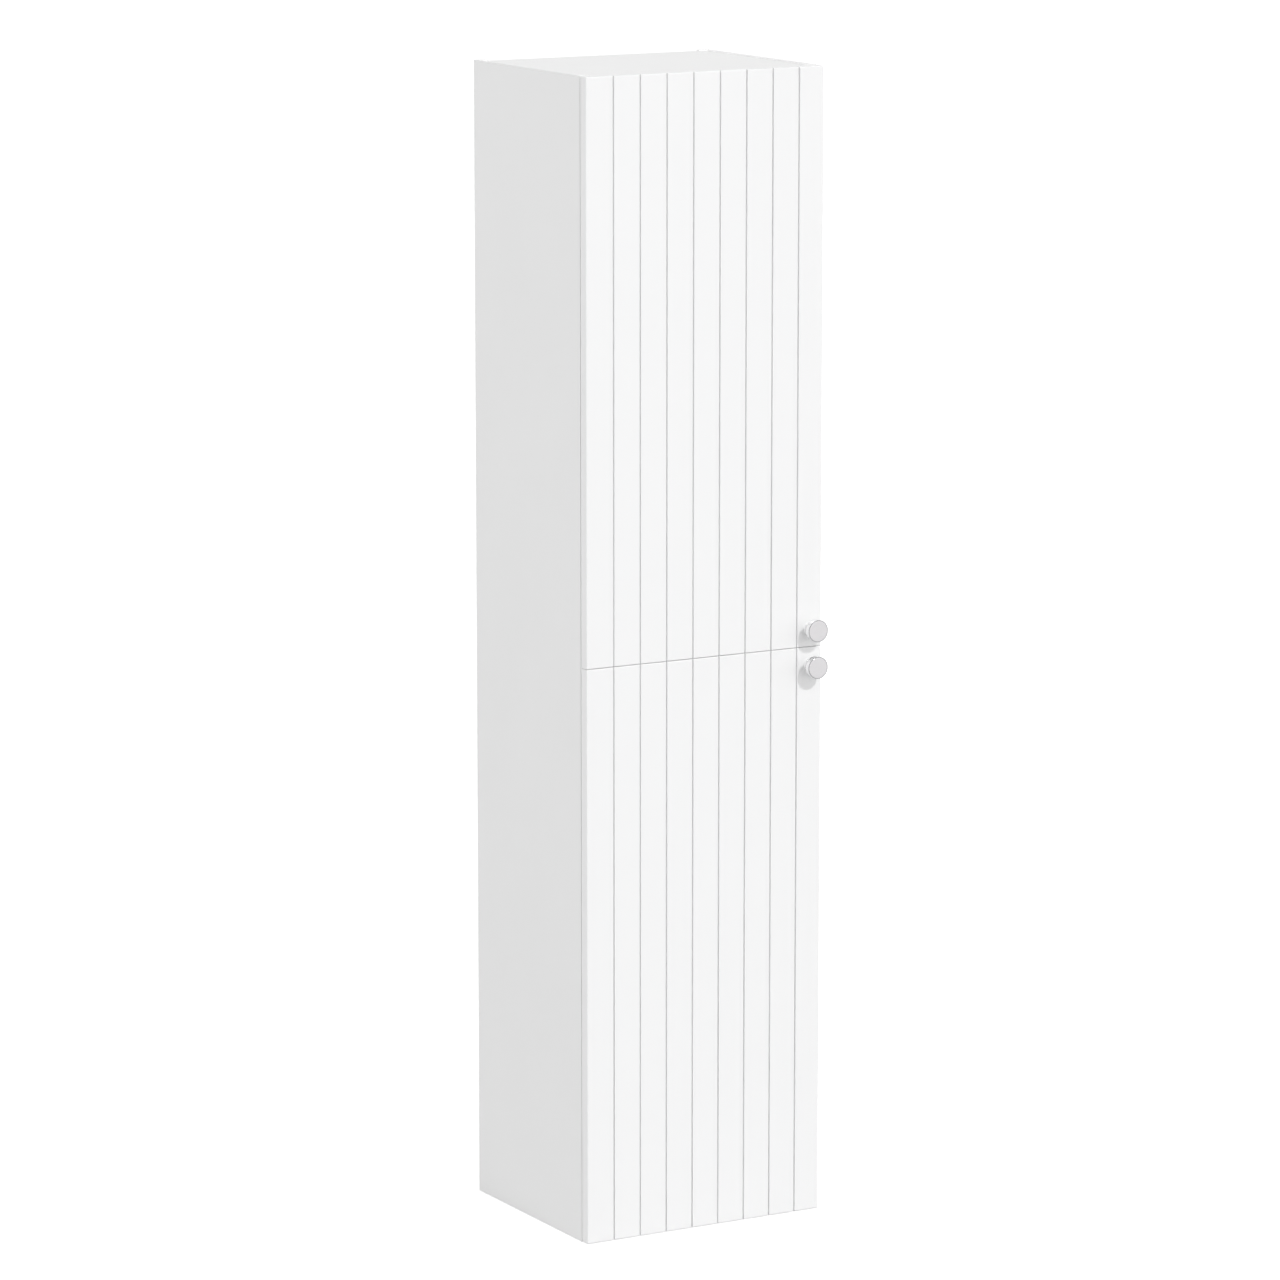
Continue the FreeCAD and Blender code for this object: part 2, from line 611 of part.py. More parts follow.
def corner_blocks():
    """Blocks in the corners under the top board, screwed to it and to the sides."""
    blocks, screws = [], []
    length = "corner_block + corner_bite"
    low, middle_z = "top_base - corner_block", "top_base - corner_block / 2"
    for end, face, outwards, inward in board_ends():
        x = face if inward > 0 else face + " - corner_block"
        inner_x = "%s + %d * corner_block" % (face, inward)
        middle_x = "%s + %d * corner_block / 2" % (face, inward)
        for row in ("front", "rear"):
            name = "corner_%s_%s" % (end, row)
            y = "carcass_y + corner_" + row
            to_side = (inner_x, y + " + corner_block / 2 - corner_spread", middle_z, outwards)
            to_top = (middle_x, y + " + corner_block / 2 + corner_spread", low, "+z")
            holes = fuse(name + "_holes", [
                countersink(name + "_side_hole", *to_side, length),
                countersink(name + "_top_hole", *to_top, length)])
            blocks.append(cut(name + "_block", bevelled_block(name, x, y, low, inner_x), holes))
            screws.append(countersunk_screw(name + "_side_screw", *to_side, length))
            screws.append(countersunk_screw(name + "_top_screw", *to_top, length))
    keep(group("corner_blocks", blocks), "corner_blocks")
    keep(group("corner_block_screws", screws), "corner_block_screws")


# ---------------------------------------------------------------- wall hanging
def wall_hangers():
    """Housings in the top rear corners, with a steel hook that reaches behind the back."""
    screws = []
    for end, face, outwards, inward in board_ends():
        name = end + "_wall_hanger"
        x = face if inward > 0 else face + " - hanger_wide"
        body = new_body(name + "_housing")
        outline = new_sketch(body, "outline", "XY_Plane")
        add_outline(outline, rectangle("0", "0", "hanger_wide", "hanger_deep"))
        case = pad(body, outline, "hanger_tall")
        edge_x = size("hanger_wide") if inward > 0 else 0.0
        rounded = edge_names(case.Shape, lambda edge: all(
            abs(v.X - edge_x) < 1e-6 for v in edge.Vertexes))
        fillet = body.newObject("PartDesign::Fillet", name + "_edges")
        fillet.Base = (case, rounded)
        bind(fillet, Radius="hanger_edge")
        doc.recompute()
        slot = new_sketch(body, "hook_slot", "XZ_Plane", "-hanger_deep")
        left = "(hanger_wide - hook_wide) / 2"
        rise = "hook_base - hanger_base"
        add_outline(slot, rectangle(left + " - hook_play", rise + " - hook_play",
                                    left + " + hook_wide + hook_play",
                                    rise + " + hook_thick + hook_play"))
        pocket(body, slot, "hook_root + hook_play", towards_normal=True)
        holes = new_sketch(body, "screw_holes", "YZ_Plane")
        add_circles(holes, [("hanger_deep / 2", height) for height in HANGER_SCREWS.values()],
                    "screw_hole")
        pocket(body, holes, "hanger_wide", towards_normal=True)
        keep(place(body, x, "hanger_y", "hanger_base"), name)

        hook = new_body(end + "_hanger_hook")
        shape = new_sketch(hook, "outline", "YZ_Plane")
        root = "hanger_deep - hook_root"
        reach = "hanger_deep + slot_wide + back_inset - wall_rail_thick - hook_play"
        add_outline(shape, [
            (root, "0"), (reach + " - hook_thick", "0"),
            (reach + " - hook_thick", "-hook_down"), (reach, "-hook_down"),
            (reach, "hook_thick"), (root, "hook_thick")])
        pad(hook, shape, "hook_wide")
        keep(place(hook, x + " + (hanger_wide - hook_wide) / 2", "hanger_y", "hook_base"),
             end + "_hanger_hook")

        head_x = "%s + %d * hanger_wide" % (face, inward)
        for level, height in HANGER_SCREWS.items():
            screws.append(round_screw(
                "%s_%s_screw" % (name, level), head_x, "hanger_y + hanger_deep / 2",
                "hanger_base + " + height, outwards, "hanger_screw_length"))
    keep(group("hanger_screws", screws), "hanger_screws")


def wall_rail():
    """The steel strip on the wall: a flat back with holes and a raised lip for the hooks."""
    body = new_body("wall_rail")
    shape = new_sketch(body, "outline", "YZ_Plane")
    rise = "wall_rail_tall + wall_rail_lip - wall_rail_thick"
    add_outline(shape, [
        ("0", "0"), ("0", "wall_rail_tall"), ("-wall_rail_reach", "wall_rail_tall"),
        ("-wall_rail_reach", rise), ("-wall_rail_reach + wall_rail_thick", rise),
        ("-wall_rail_reach + wall_rail_thick", "wall_rail_tall + wall_rail_thick"),
        ("wall_rail_thick", "wall_rail_tall + wall_rail_thick"), ("wall_rail_thick", "0")])
    pad(body, shape, "inner_width - 2 * wall_rail_end")
    holes = new_sketch(body, "holes", "XZ_Plane", "-wall_rail_thick")
    middle = "inner_width / 2 - wall_rail_end"
    add_circles(holes, [(middle + " - wall_hole_half", "wall_rail_tall / 2"),
                        (middle + " + wall_hole_half", "wall_rail_tall / 2")],
                "wall_hole_radius")
    pocket(body, holes, "wall_rail_thick", towards_normal=True)
    return keep(place(body, "inner_left + wall_rail_end", "rear_y - wall_rail_thick",
                      "wall_rail_base"), "wall_rail")


# ---------------------------------------------------------------- doors and knobs
DOORS = {
    "upper": {"base": "upper_door_base", "tall": "upper_door_tall",
              "knob": "split_height + knob_offset"},
    "lower": {"base": "lower_door_base", "tall": "lower_door_tall",
              "knob": "split_height - knob_offset"},
}


def door_panel(side):
    """A slatted door: upright grooves in front, hinge cups and a knob hole behind."""
    tall = DOORS[side]["tall"]
    body = new_body(side + "_door")
    outline = new_sketch(body, "outline", "XY_Plane")
    add_outline(outline, rectangle("0", "0", "width", "door_board"))
    slab = pad(body, outline, tall)
    front = edge_names(slab.Shape, lambda edge: all(abs(v.Y) < 1e-6 for v in edge.Vertexes))
    fillet = body.newObject("PartDesign::Fillet", side + "_door_edges")
    fillet.Base = (slab, front)
    bind(fillet, Radius="door_edge_radius")
    doc.recompute()
    groove = new_sketch(body, "groove", "XY_Plane")
    add_outline(groove, rectangle("first_groove - groove_width / 2", "0",
                                  "first_groove + groove_width / 2", "groove_depth"))
    first = pocket(body, groove, tall, towards_normal=True)
    row_of(body, first, "X_Axis", "groove_pitch", "groove_count")
    cups = new_sketch(body, "cup_bores", "XZ_Plane", "-door_board")
    heights = ["hinge_inset", "%s - hinge_inset" % tall]
    add_circles(cups, [("cup_centre", z) for z in heights], "cup_radius")
    pocket(body, cups, "cup_bore_depth", towards_normal=True)
    screws = new_sketch(body, "cup_screw_holes", "XZ_Plane", "-door_board")
    add_circles(screws, [("cup_centre + flange_screw", "%s + %s" % (z, offset))
                         for z in heights
                         for offset in ("flange_screw_half", "-flange_screw_half")],
                "screw_hole")
    pocket(body, screws, "cup_screw_length - flange_thick + screw_play", towards_normal=True)
    knob_x = "width - knob_inset"
    knob_z = "%s - %s" % (DOORS[side]["knob"], DOORS[side]["base"])
    through = new_sketch(body, "knob_hole", "XZ_Plane", "-door_board")
    add_circles(through, [(knob_x, knob_z)], "knob_thread + screw_play")
    pocket(body, through, "door_board", towards_normal=True)
    sink = new_sketch(body, "knob_screw_sink", "XZ_Plane", "-door_board")
    add_circles(sink, [(knob_x, knob_z)], "knob_head_radius + screw_play")
    pocket(body, sink, "knob_head_sink", towards_normal=True)
    return keep(place(body, "left_x", "front_y", DOORS[side]["base"]), side + "_door")


def knob(side):
    """A disc knob turned about its own axis, with a blind hole for its screw."""
    body = new_body(side + "_knob")
    profile = new_sketch(body, "profile", "XZ_Plane")
    face = "knob_reach"
    add_outline(profile, [
        ("0", "0"), ("knob_foot_radius", "0"), ("knob_foot_radius", "knob_foot_edge"),
        ("knob_neck", "knob_foot"), ("knob_neck", "%s - knob_head" % face),
        ("knob_radius - knob_bevel", "%s - knob_head" % face),
        ("knob_radius", "%s - knob_head + knob_bevel" % face),
        ("knob_radius", "%s - knob_bevel" % face),
        ("knob_radius - knob_bevel", face), ("0", face)])
    turned = body.newObject("PartDesign::Revolution", side + "_knob_turned")
    turned.Profile = profile
    turned.ReferenceAxis = (profile, ["V_Axis"])
    turned.Angle = 360
    doc.recompute()
    hole = new_sketch(body, "screw_hole", "XY_Plane")
    add_circles(hole, [("0", "0")], "knob_thread + pivot_play")
    pocket(body, hole, "knob_bite + screw_play", towards_normal=True)
    body.Placement.Rotation = TURNS["-y"]
    place(body, "right_x - knob_inset", "front_y", DOORS[side]["knob"])
    return keep(body, side + "_knob")


def knob_screw(side):
    """The screw that holds a knob from behind, its slotted head sunk in the door."""
    name = side + "_knob_screw"
    x, z = "right_x - knob_inset", DOORS[side]["knob"]
    y = "back_face_y - knob_head_sink"
    head = rod(name + "_head", x, y, z, "+y", "knob_head_radius", "knob_head_sink - screw_play")
    shank = rod(name + "_shank", x, y, z, "-y", "knob_thread",
                "door_board - knob_head_sink + knob_bite")
    drive = block(name + "_drive", x + " - knob_drive_long / 2",
                  y + " + knob_head_sink - screw_play - knob_drive_deep",
                  z + " - knob_drive_wide / 2",
                  "knob_drive_long", "knob_drive_deep", "knob_drive_wide")
    return keep(cut(name, fuse(name + "_blank", [head, shank]), drive), name)


def door_bumpers(side):
    """Two soft dots on the back of the door, at the corners away from the hinges."""
    base, tall = DOORS[side]["base"], DOORS[side]["tall"]
    dots = [rod("%s_bumper_%s" % (side, end), "right_x - board / 2", "back_face_y", z, "+y",
                "bumper_radius", "bumper_thick")
            for end, z in (("low", base + " + bumper_inset"),
                           ("high", "%s + %s - bumper_inset" % (base, tall)))]
    return keep(group(side + "_door_bumpers", dots), side + "_door_bumpers")


# ---------------------------------------------------------------- cup hinges
def bar(start, end, radius, low, high):
    """A flat bar with round ends about two pivots."""
    along = (end - start).normalize()
    across = Vector(-along.y, along.x, 0) * radius
    top, bottom = start + across, start - across
    far_top, far_bottom = end + across, end - across
    outline = Part.Wire([
        Part.LineSegment(top, far_top).toShape(),
        Part.Arc(far_top, end + along * radius, far_bottom).toShape(),
        Part.LineSegment(far_bottom, bottom).toShape(),
        Part.Arc(bottom, start - along * radius, top).toShape()])
    flat = Part.Face(outline)
    flat.translate(Vector(0, 0, low))
    return flat.extrude(Vector(0, 0, high - low))


def pivot_hole(spot, radius, half):
    """A cylinder about a pivot, as long above the hinge's middle plane as below it."""
    return Part.makeCylinder(radius, 2 * half, Vector(spot.x, spot.y, -half))


def flat_box(x0, x1, y0, y1, z0, z1):
    """A box between two opposite corners."""
    return Part.makeBox(x1 - x0, y1 - y0, z1 - z0, Vector(x0, y0, z0))


def pivot(name):
    """A hinge point from its two sizes."""
    return Vector(size(name + "_x"), size(name + "_y"), 0)


def hinge_piece(name, shape, height):
    """A piece whose own frame is the hinge's: door edge, door back face, hinge middle."""
    piece = doc.addObject("Part::Feature", name)
    piece.Shape = shape.removeSplitter()
    return place(piece, "left_x", "back_face_y", height)


def both_sides(build):
    """The same plate above and below the hinge's middle plane."""
    upper = build()
    lower = upper.mirror(Vector(0, 0, 0), Vector(0, 0, 1))
    return upper, lower


def outer_link_shape():
    """Two cranked plates from the cup's pivot round the panel's corner, joined by a web."""
    cup, knee, arm = pivot("cup_pivot"), pivot("knee"), pivot("arm_pivot")
    half, eye = size("link_half"), size("link_radius")
    low, high = size("link_in"), size("link_out")
    web = size("link_web")

    def plate():
        return bar(cup, knee, half, low, high).fuse([
            bar(knee, arm, half, low, high),
            Part.makeCylinder(eye, high - low, Vector(cup.x, cup.y, low)),
            Part.makeCylinder(eye, high - low, Vector(arm.x, arm.y, low))])

    upper, lower = both_sides(plate)
    along = (arm - knee).normalize()
    across = Vector(-along.y, along.x, 0) * web
    corner = knee + along * size("link_web_start") + across * (half / web - 1)
    far = corner + along * size("link_web_long")
    strip = Part.makePolygon([corner, far, far + across, corner + across, corner])
    strip = Part.Face(strip)
    strip.translate(Vector(0, 0, -high))
    link = upper.fuse([lower, strip.extrude(Vector(0, 0, 2 * high))])
    hole = size("pivot_radius + pivot_play")
    return link.cut([pivot_hole(cup, hole, high), pivot_hole(arm, hole, high)])


def inner_link_shape():
    """A solid bar from the arm's nose to a round end that follows the cup."""
    nose, end = pivot("nose_pivot"), pivot("follower_end")
    half, thick, eye = size("follower_half"), size("follower_thick"), size("link_radius")
    link = bar(end, nose, thick, -half, half).fuse(
        Part.makeCylinder(eye, 2 * half, Vector(nose.x, nose.y, -half)))
    return link.cut(pivot_hole(nose, size("pivot_radius + pivot_play"), half))


def hinge_arm_shape():
    """A channel over the mounting plate, with a forked nose that reaches into the cup."""
    nose, neck, arm = pivot("nose_pivot"), pivot("nose_neck"), pivot("arm_pivot")
    low, high = size("cheek_in"), size("cheek_out")
    top, foot = size("arm_top"), size("arm_foot")
    front, rear = size("arm_front"), size("arm_front + arm_length")
    skin = size("cheek")

    def cheek():
        side = bar(nose, neck, size("nose_radius"), low, high)
        side = side.fuse(bar(neck, arm, size("nose_radius"), low, high))
        elbow = Part.makeCylinder(size("elbow_radius"), high - low, Vector(arm.x, arm.y, low))
        wall = flat_box(foot, top, front, rear, low, high)
        neck_wall = flat_box(top - size("arm_neck_tall"), top,
                             arm.y, front + size("arm_neck_lap"), low, high)
        return side.fuse([elbow, wall, neck_wall])

    upper, lower = both_sides(cheek)
    roof = flat_box(top - skin, top, front + size("arm_roof_setback"), rear, -high, high)
    channel = upper.fuse([lower, roof])
    hole = size("pivot_radius")
    tools = [pivot_hole(nose, hole, high), pivot_hole(arm, hole, high)]
    for y in (size("adjuster_front"), size("adjuster_rear")):
        tools.append(Part.makeCylinder(size("adjuster_radius + screw_play"), 2 * skin,
                                       Vector(top - 1.5 * skin, y, 0), Vector(1, 0, 0)))
    return channel.cut(tools)


def mounting_plate_shape():
    """A cross plate on the side panel with a raised block inside the arm."""
    seat, thick = size("board"), size("plate_thick")
    start, end = size("plate_front"), size("plate_front + plate_length")
    screw_y = size("plate_screw_y")
    wing, half = size("plate_wing"), size("plate_half")
    core, deep = size("block_half"), size("wing_half")
    base = flat_box(seat, seat + thick, start, end, -core, core)
    wings = flat_box(seat, seat + thick, screw_y - deep, screw_y + deep, -half, half)
    raised = flat_box(seat, size("block_top"), start, end, -core, core)
    plate = base.fuse([wings, raised])
    for z in (-wing, wing):
        plate = plate.cut(Part.makeCylinder(size("screw_hole"), thick,
                                            Vector(seat, screw_y, z), Vector(1, 0, 0)))
        plate = plate.cut(Part.makeCone(
            size("screw_hole"), size("screw_head + screw_play"), thick,
            Vector(seat, screw_y, z), Vector(1, 0, 0)))
    for y in (size("adjuster_front"), size("adjuster_rear")):
        plate = plate.cut(Part.makeCylinder(
            size("adjuster_radius + screw_play"), size("adjuster_bite + block_play + screw_play"),
            Vector(size("block_top"), y, 0), Vector(-1, 0, 0)))
    return plate


def cup_shape():
    """A steel cup with a long flange, and two ears that hold the link's pin."""
    centre, outer = size("cup_centre"), size("cup_radius - cup_play")
    depth, wall = size("cup_depth"), size("cup_wall")
    low, high = size("cheek_in"), size("cheek_out")
    cup = pivot("cup_pivot")
    flange = size("flange_thick")
    into, out = Vector(0, -1, 0), Vector(0, 1, 0)
    drum = Part.makeCylinder(outer, depth, Vector(centre, 0, 0), into)
    wings = flat_box(size("flange_start"), size("flange_end"), 0, flange,
                     -size("flange_half"), size("flange_half"))
    solid = drum.fuse(wings)
    hollow = Part.makeCylinder(outer - wall, depth - wall, Vector(centre, 0, 0), into)
    mouth = Part.makeCylinder(outer - wall, flange, Vector(centre, 0, 0), out)
    solid = solid.cut([hollow, mouth])

    def ear():
        spread = size("link_radius")
        tongue = bar(cup, Vector(cup.x, wall - depth, 0), spread, low, high)
        return tongue.common(Part.makeCylinder(outer - wall / 2, depth + spread,
                                               Vector(centre, spread, 0), into))

    upper, lower = both_sides(ear)
    solid = solid.fuse([upper, lower])
    holes = [pivot_hole(cup, size("pivot_radius"), high)]
    screw_x = centre + size("flange_screw")
    for z in (-size("flange_screw_half"), size("flange_screw_half")):
        holes.append(Part.makeCylinder(size("screw_hole"), flange, Vector(screw_x, 0, z), out))
        holes.append(Part.makeCone(size("screw_hole"), size("screw_head + screw_play"), flange,
                                   Vector(screw_x, 0, z), out))
    return solid.cut(holes)


def pin_shape(name):
    """A pivot pin as long as the cheeks or ears that hold it."""
    return pivot_hole(pivot(name), size("pivot_radius"), size("cheek_out"))


def hinges():
    """Four alike hinges, two to a door, and their screws and pins."""
    arm_shape, plate_shape, drum_shape = hinge_arm_shape(), mounting_plate_shape(), cup_shape()
    plate_screws, adjusters, arm_pins = [], [], []
    for side in DOORS:
        outer, inner, cup_screws, cup_pins = [], [], [], []
        for name, height in HINGE_HEIGHTS.items():
            if not name.startswith(side):
                continue
            keep(hinge_piece(name + "_arm", arm_shape, height), name + "_arm")
            keep(hinge_piece(name + "_mounting_plate", plate_shape, height),
                 name + "_mounting_plate")
            keep(hinge_piece(name + "_cup", drum_shape, height), name + "_cup")
            outer.append(hinge_piece(name + "_outer_link", outer_link_shape(), height))
            inner.append(hinge_piece(name + "_inner_link", inner_link_shape(), height))
            cup_pins.append(hinge_piece(name + "_cup_pin", pin_shape("cup_pivot"), height))
            arm_pins.append(hinge_piece(name + "_arm_pin", pin_shape("arm_pivot"), height))
            arm_pins.append(hinge_piece(name + "_nose_pin", pin_shape("nose_pivot"), height))
            for end, offset in (("low", "-"), ("high", "+")):
                cup_screws.append(flush_screw(
                    "%s_cup_screw_%s" % (name, end), "left_x + cup_centre + flange_screw",
                    "back_face_y + flange_thick", "%s %s flange_screw_half" % (height, offset),
                    "-y", "cup_screw_length", "flange_thick"))
                plate_screws.append(flush_screw(
                    "%s_plate_screw_%s" % (name, end), "inner_left + plate_thick",
                    "back_face_y + plate_screw_y", "%s %s plate_wing" % (height, offset),
                    "-x", "plate_screw_length", "plate_thick"))
            for end in ("front", "rear"):
                adjusters.append(adjuster("%s_adjuster_%s" % (name, end),
                                          "back_face_y + adjuster_" + end, height))
        keep(group(side + "_door_outer_links", outer), side + "_door_outer_links")
        keep(group(side + "_door_inner_links", inner), side + "_door_inner_links")
        keep(group(side + "_door_cup_pins", cup_pins), side + "_door_cup_pins")
        keep(group(side + "_door_cup_screws", cup_screws), side + "_door_cup_screws")
    keep(group("hinge_arm_pins", arm_pins), "hinge_arm_pins")
    keep(group("mounting_plate_screws", plate_screws), "mounting_plate_screws")
    keep(group("hinge_adjusting_screws", adjusters), "hinge_adjusting_screws")


def adjuster(name, y, height):
    """A cross-slotted screw through the arm's roof into the plate's block."""
    x = "left_x + arm_top"
    head = rod(name + "_head", x, y, height, "+x", "adjuster_head", "adjuster_cap")
    shank = rod(name + "_shank", x, y, height, "-x", "adjuster_radius",
                "cheek + block_play + adjuster_bite")
    drive = [
        block("%s_%s" % (name, slot), x + " + adjuster_cap / 2", "%s - %s / 2" % (y, deep),
              "%s - %s / 2" % (height, tall), "adjuster_cap / 2", deep, tall)
        for slot, deep, tall in (("flat_slot", "adjuster_drive_long", "adjuster_drive_wide"),
                                 ("upright_slot", "adjuster_drive_wide", "adjuster_drive_long"))]
    return cut(name, fuse(name + "_blank", [head, shank]), fuse(name + "_drive", drive))


# ---------------------------------------------------------------- build and write
side_panel("left_side_panel", on_left=True)
side_panel("right_side_panel", on_left=False)
top_panel()
fixed_board("bottom_panel", "carcass_depth", FIXED_BOARDS["bottom"], slotted=True)
fixed_board("middle_shelf", "inner_depth", FIXED_BOARDS["middle"], slotted=False)
back_panel()
rear_rail()
for shelf_name, shelf_floor, shelf_up in SHELVES:
    adjustable_shelf(shelf_name, shelf_floor, shelf_up)
shelf_supports()
cam_fixings()
corner_blocks()
wall_hangers()
wall_rail()
for door_side in DOORS:
    door_panel(door_side)
    knob(door_side)
    knob_screw(door_side)
    door_bumpers(door_side)
hinges()
doc.recompute()

for thing in doc.Objects:
    if "Invalid" in thing.State or "Error" in thing.State:
        raise RuntimeError("%s failed: %s" % (thing.Name, thing.State))

os.makedirs("parts", exist_ok=True)
for part in PARTS:
    if part.Shape.isNull() or not part.Shape.isValid():
        raise RuntimeError(part.Label + " has no valid shape")
    part.Shape.exportStep("parts/%s.step" % part.Label)
    print("%-34s %3d solids %12.1f mm3" % (part.Label, len(part.Shape.Solids),
                                           part.Shape.Volume))
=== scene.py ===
"""A tall white bathroom cabinet, dressed round its measured frame.

Two slatted doors hang on cup hinges in a board carcass that hangs on the wall. Every length is
in metres in the frame's own axes: +Z up, +Y towards the wall, the origin under the cabinet.
"""
import logging
import math
from abc import ABC, abstractmethod
from dataclasses import dataclass, fields
from enum import Enum, IntEnum

import bmesh
import bpy
from mathutils import Matrix, Vector


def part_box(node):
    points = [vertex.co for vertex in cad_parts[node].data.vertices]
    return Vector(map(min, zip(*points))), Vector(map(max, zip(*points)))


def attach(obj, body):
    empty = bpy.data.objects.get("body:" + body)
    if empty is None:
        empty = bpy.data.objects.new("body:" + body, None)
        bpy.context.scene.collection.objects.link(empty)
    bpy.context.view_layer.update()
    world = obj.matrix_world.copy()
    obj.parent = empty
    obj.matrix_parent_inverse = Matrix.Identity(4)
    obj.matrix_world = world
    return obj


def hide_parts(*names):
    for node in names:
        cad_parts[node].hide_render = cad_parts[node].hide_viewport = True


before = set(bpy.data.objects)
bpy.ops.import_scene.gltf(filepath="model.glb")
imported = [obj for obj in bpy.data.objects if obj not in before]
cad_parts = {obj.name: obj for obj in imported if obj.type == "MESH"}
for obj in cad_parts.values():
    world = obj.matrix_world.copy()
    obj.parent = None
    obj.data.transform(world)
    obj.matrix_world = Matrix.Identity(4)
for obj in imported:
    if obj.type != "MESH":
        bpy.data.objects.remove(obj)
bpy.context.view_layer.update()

LOG = logging.getLogger("cabinet")
MM = 0.001
CARCASS = "carcass"

# Points closer than this many metres are one.
MERGE = 1e-6

# Angles in degrees: between flat faces that join, at edges that stay sharp, and at rounded edges.
COPLANAR = 0.4
CREASE = 30.0
BEVEL_FROM = 35.0
BEVEL_STEPS = 2

# The least cosine between a face's normal and a way: it looks that way, or it doesn't look back.
LOOKS_ALONG = 0.9
NOT_BACK = -0.5

RGB = tuple[float, float, float]
Socket = bpy.types.NodeSocket


# ---------------------------------------------------------------- node trees
@dataclass
class NodeWriter:
    """Adds nodes to one tree and links them."""

    tree: bpy.types.NodeTree

    def add(self, kind: str, values: dict | None = None, **settings: object) -> bpy.types.Node:
        """Add a node, set its options and fill or link its inputs.

        Args:
            kind: The node's type name.
            values: Input name or index to a number, colour, vector or another node's socket.
            settings: The node's own options.

        Returns:
            The new node.
        """
        node = self.tree.nodes.new(kind)
        for name, value in settings.items():
            setattr(node, name, value)
        for key, value in (values or {}).items():
            if isinstance(value, Socket):
                self.tree.links.new(value, node.inputs[key])
            else:
                node.inputs[key].default_value = value
        return node

    def math(self, operation: str, first: float | Socket, second: float | Socket = 0.0) -> Socket:
        """One sum, product or other operation on two numbers."""
        return self.add("ShaderNodeMath", {0: first, 1: second}, operation=operation).outputs[0]


@dataclass
class ShapeWriter(NodeWriter):
    """Adds the shapes that the repeated fittings share."""

    def triple(self, *parts: float | Socket) -> Socket:
        """Three numbers as a vector."""
        return self.add("ShaderNodeCombineXYZ", dict(enumerate(parts))).outputs[0]

    def position(self) -> bpy.types.bpy_prop_collection:
        """The three coordinates of each point."""
        place = self.add("GeometryNodeInputPosition").outputs[0]
        return self.add("ShaderNodeSeparateXYZ", {0: place}).outputs

    def cone(self, around: int, bottom: Socket, top: float | Socket, height: Socket) -> Socket:
        """A closed cone that stands on the origin, cut off where its top has a radius.

        Args:
            around: How many steps go round.
            bottom: The radius at the origin.
            top: The radius at the other end.
            height: How far it reaches along Z.

        Returns:
            The cone.
        """
        return self.add("GeometryNodeMeshCone", {
            "Vertices": around, "Radius Bottom": bottom, "Radius Top": top,
            "Depth": height}).outputs[0]

    def rod(self, around: int, radius: Socket, length: Socket, along: int = 1) -> Socket:
        """A closed rod along Z with its middle at the origin.

        Args:
            around: How many steps go round.
            radius: The rod's radius.
            length: The rod's length.
            along: How many steps go along it.

        Returns:
            The rod.
        """
        return self.add("GeometryNodeMeshCylinder", {
            "Vertices": around, "Side Segments": along, "Radius": radius,
            "Depth": length}).outputs[0]

    def moved(self, shape: Socket, *offset: float | Socket) -> Socket:
        """A shape moved along the three axes."""
        return self.add("GeometryNodeTransform", {
            "Geometry": shape, "Translation": self.triple(*offset)}).outputs[0]

    def raised(self, shape: Socket, height: Socket) -> Socket:
        """A shape moved along Z."""
        return self.moved(shape, 0.0, 0.0, height)

    def reshaped(self, shape: Socket, place: Socket) -> Socket:
        """A shape with each of its points put in a new place."""
        return self.add("GeometryNodeSetPosition", {
            "Geometry": shape, "Position": place}).outputs[0]

    def join(self, parts: list[Socket]) -> Socket:
        """Several shapes side by side, not cut or welded.

        Args:
            parts: The shapes.

        Returns:
            All of them as one.
        """
        node = self.add("GeometryNodeJoinGeometry")
        for part in parts:
            self.tree.links.new(part, node.inputs[0])
        return node.outputs[0]

    def boolean(self, kind: str, parts: list[Socket], base: Socket | None = None) -> Socket:
        """Shapes made into one solid, or taken out of a base.

        Args:
            kind: UNION or DIFFERENCE.
            parts: The shapes.
            base: What they are taken out of, for a difference.

        Returns:
            The solid that is left.
        """
        node = self.add("GeometryNodeMeshBoolean", operation=kind, solver="EXACT")
        if base is not None:
            self.tree.links.new(base, node.inputs[0])
        for part in parts:
            self.tree.links.new(part, node.inputs[1])
        return node.outputs[0]

    def crossed_bars(self, size: dict[str, Socket]) -> list[Socket]:
        """The tools that cut a crossed drive.

        Args:
            size: The fitting's named sizes, the drive's among them.

        Returns:
            Two bars across each other at the origin.
        """
        length, width, depth = size["drive_length"], size["drive_width"], size["drive_depth"]
        return [self.add("GeometryNodeMeshCube", {"Size": self.triple(*sides)}).outputs[0]
                for sides in ((length, width, depth), (width, length, depth))]


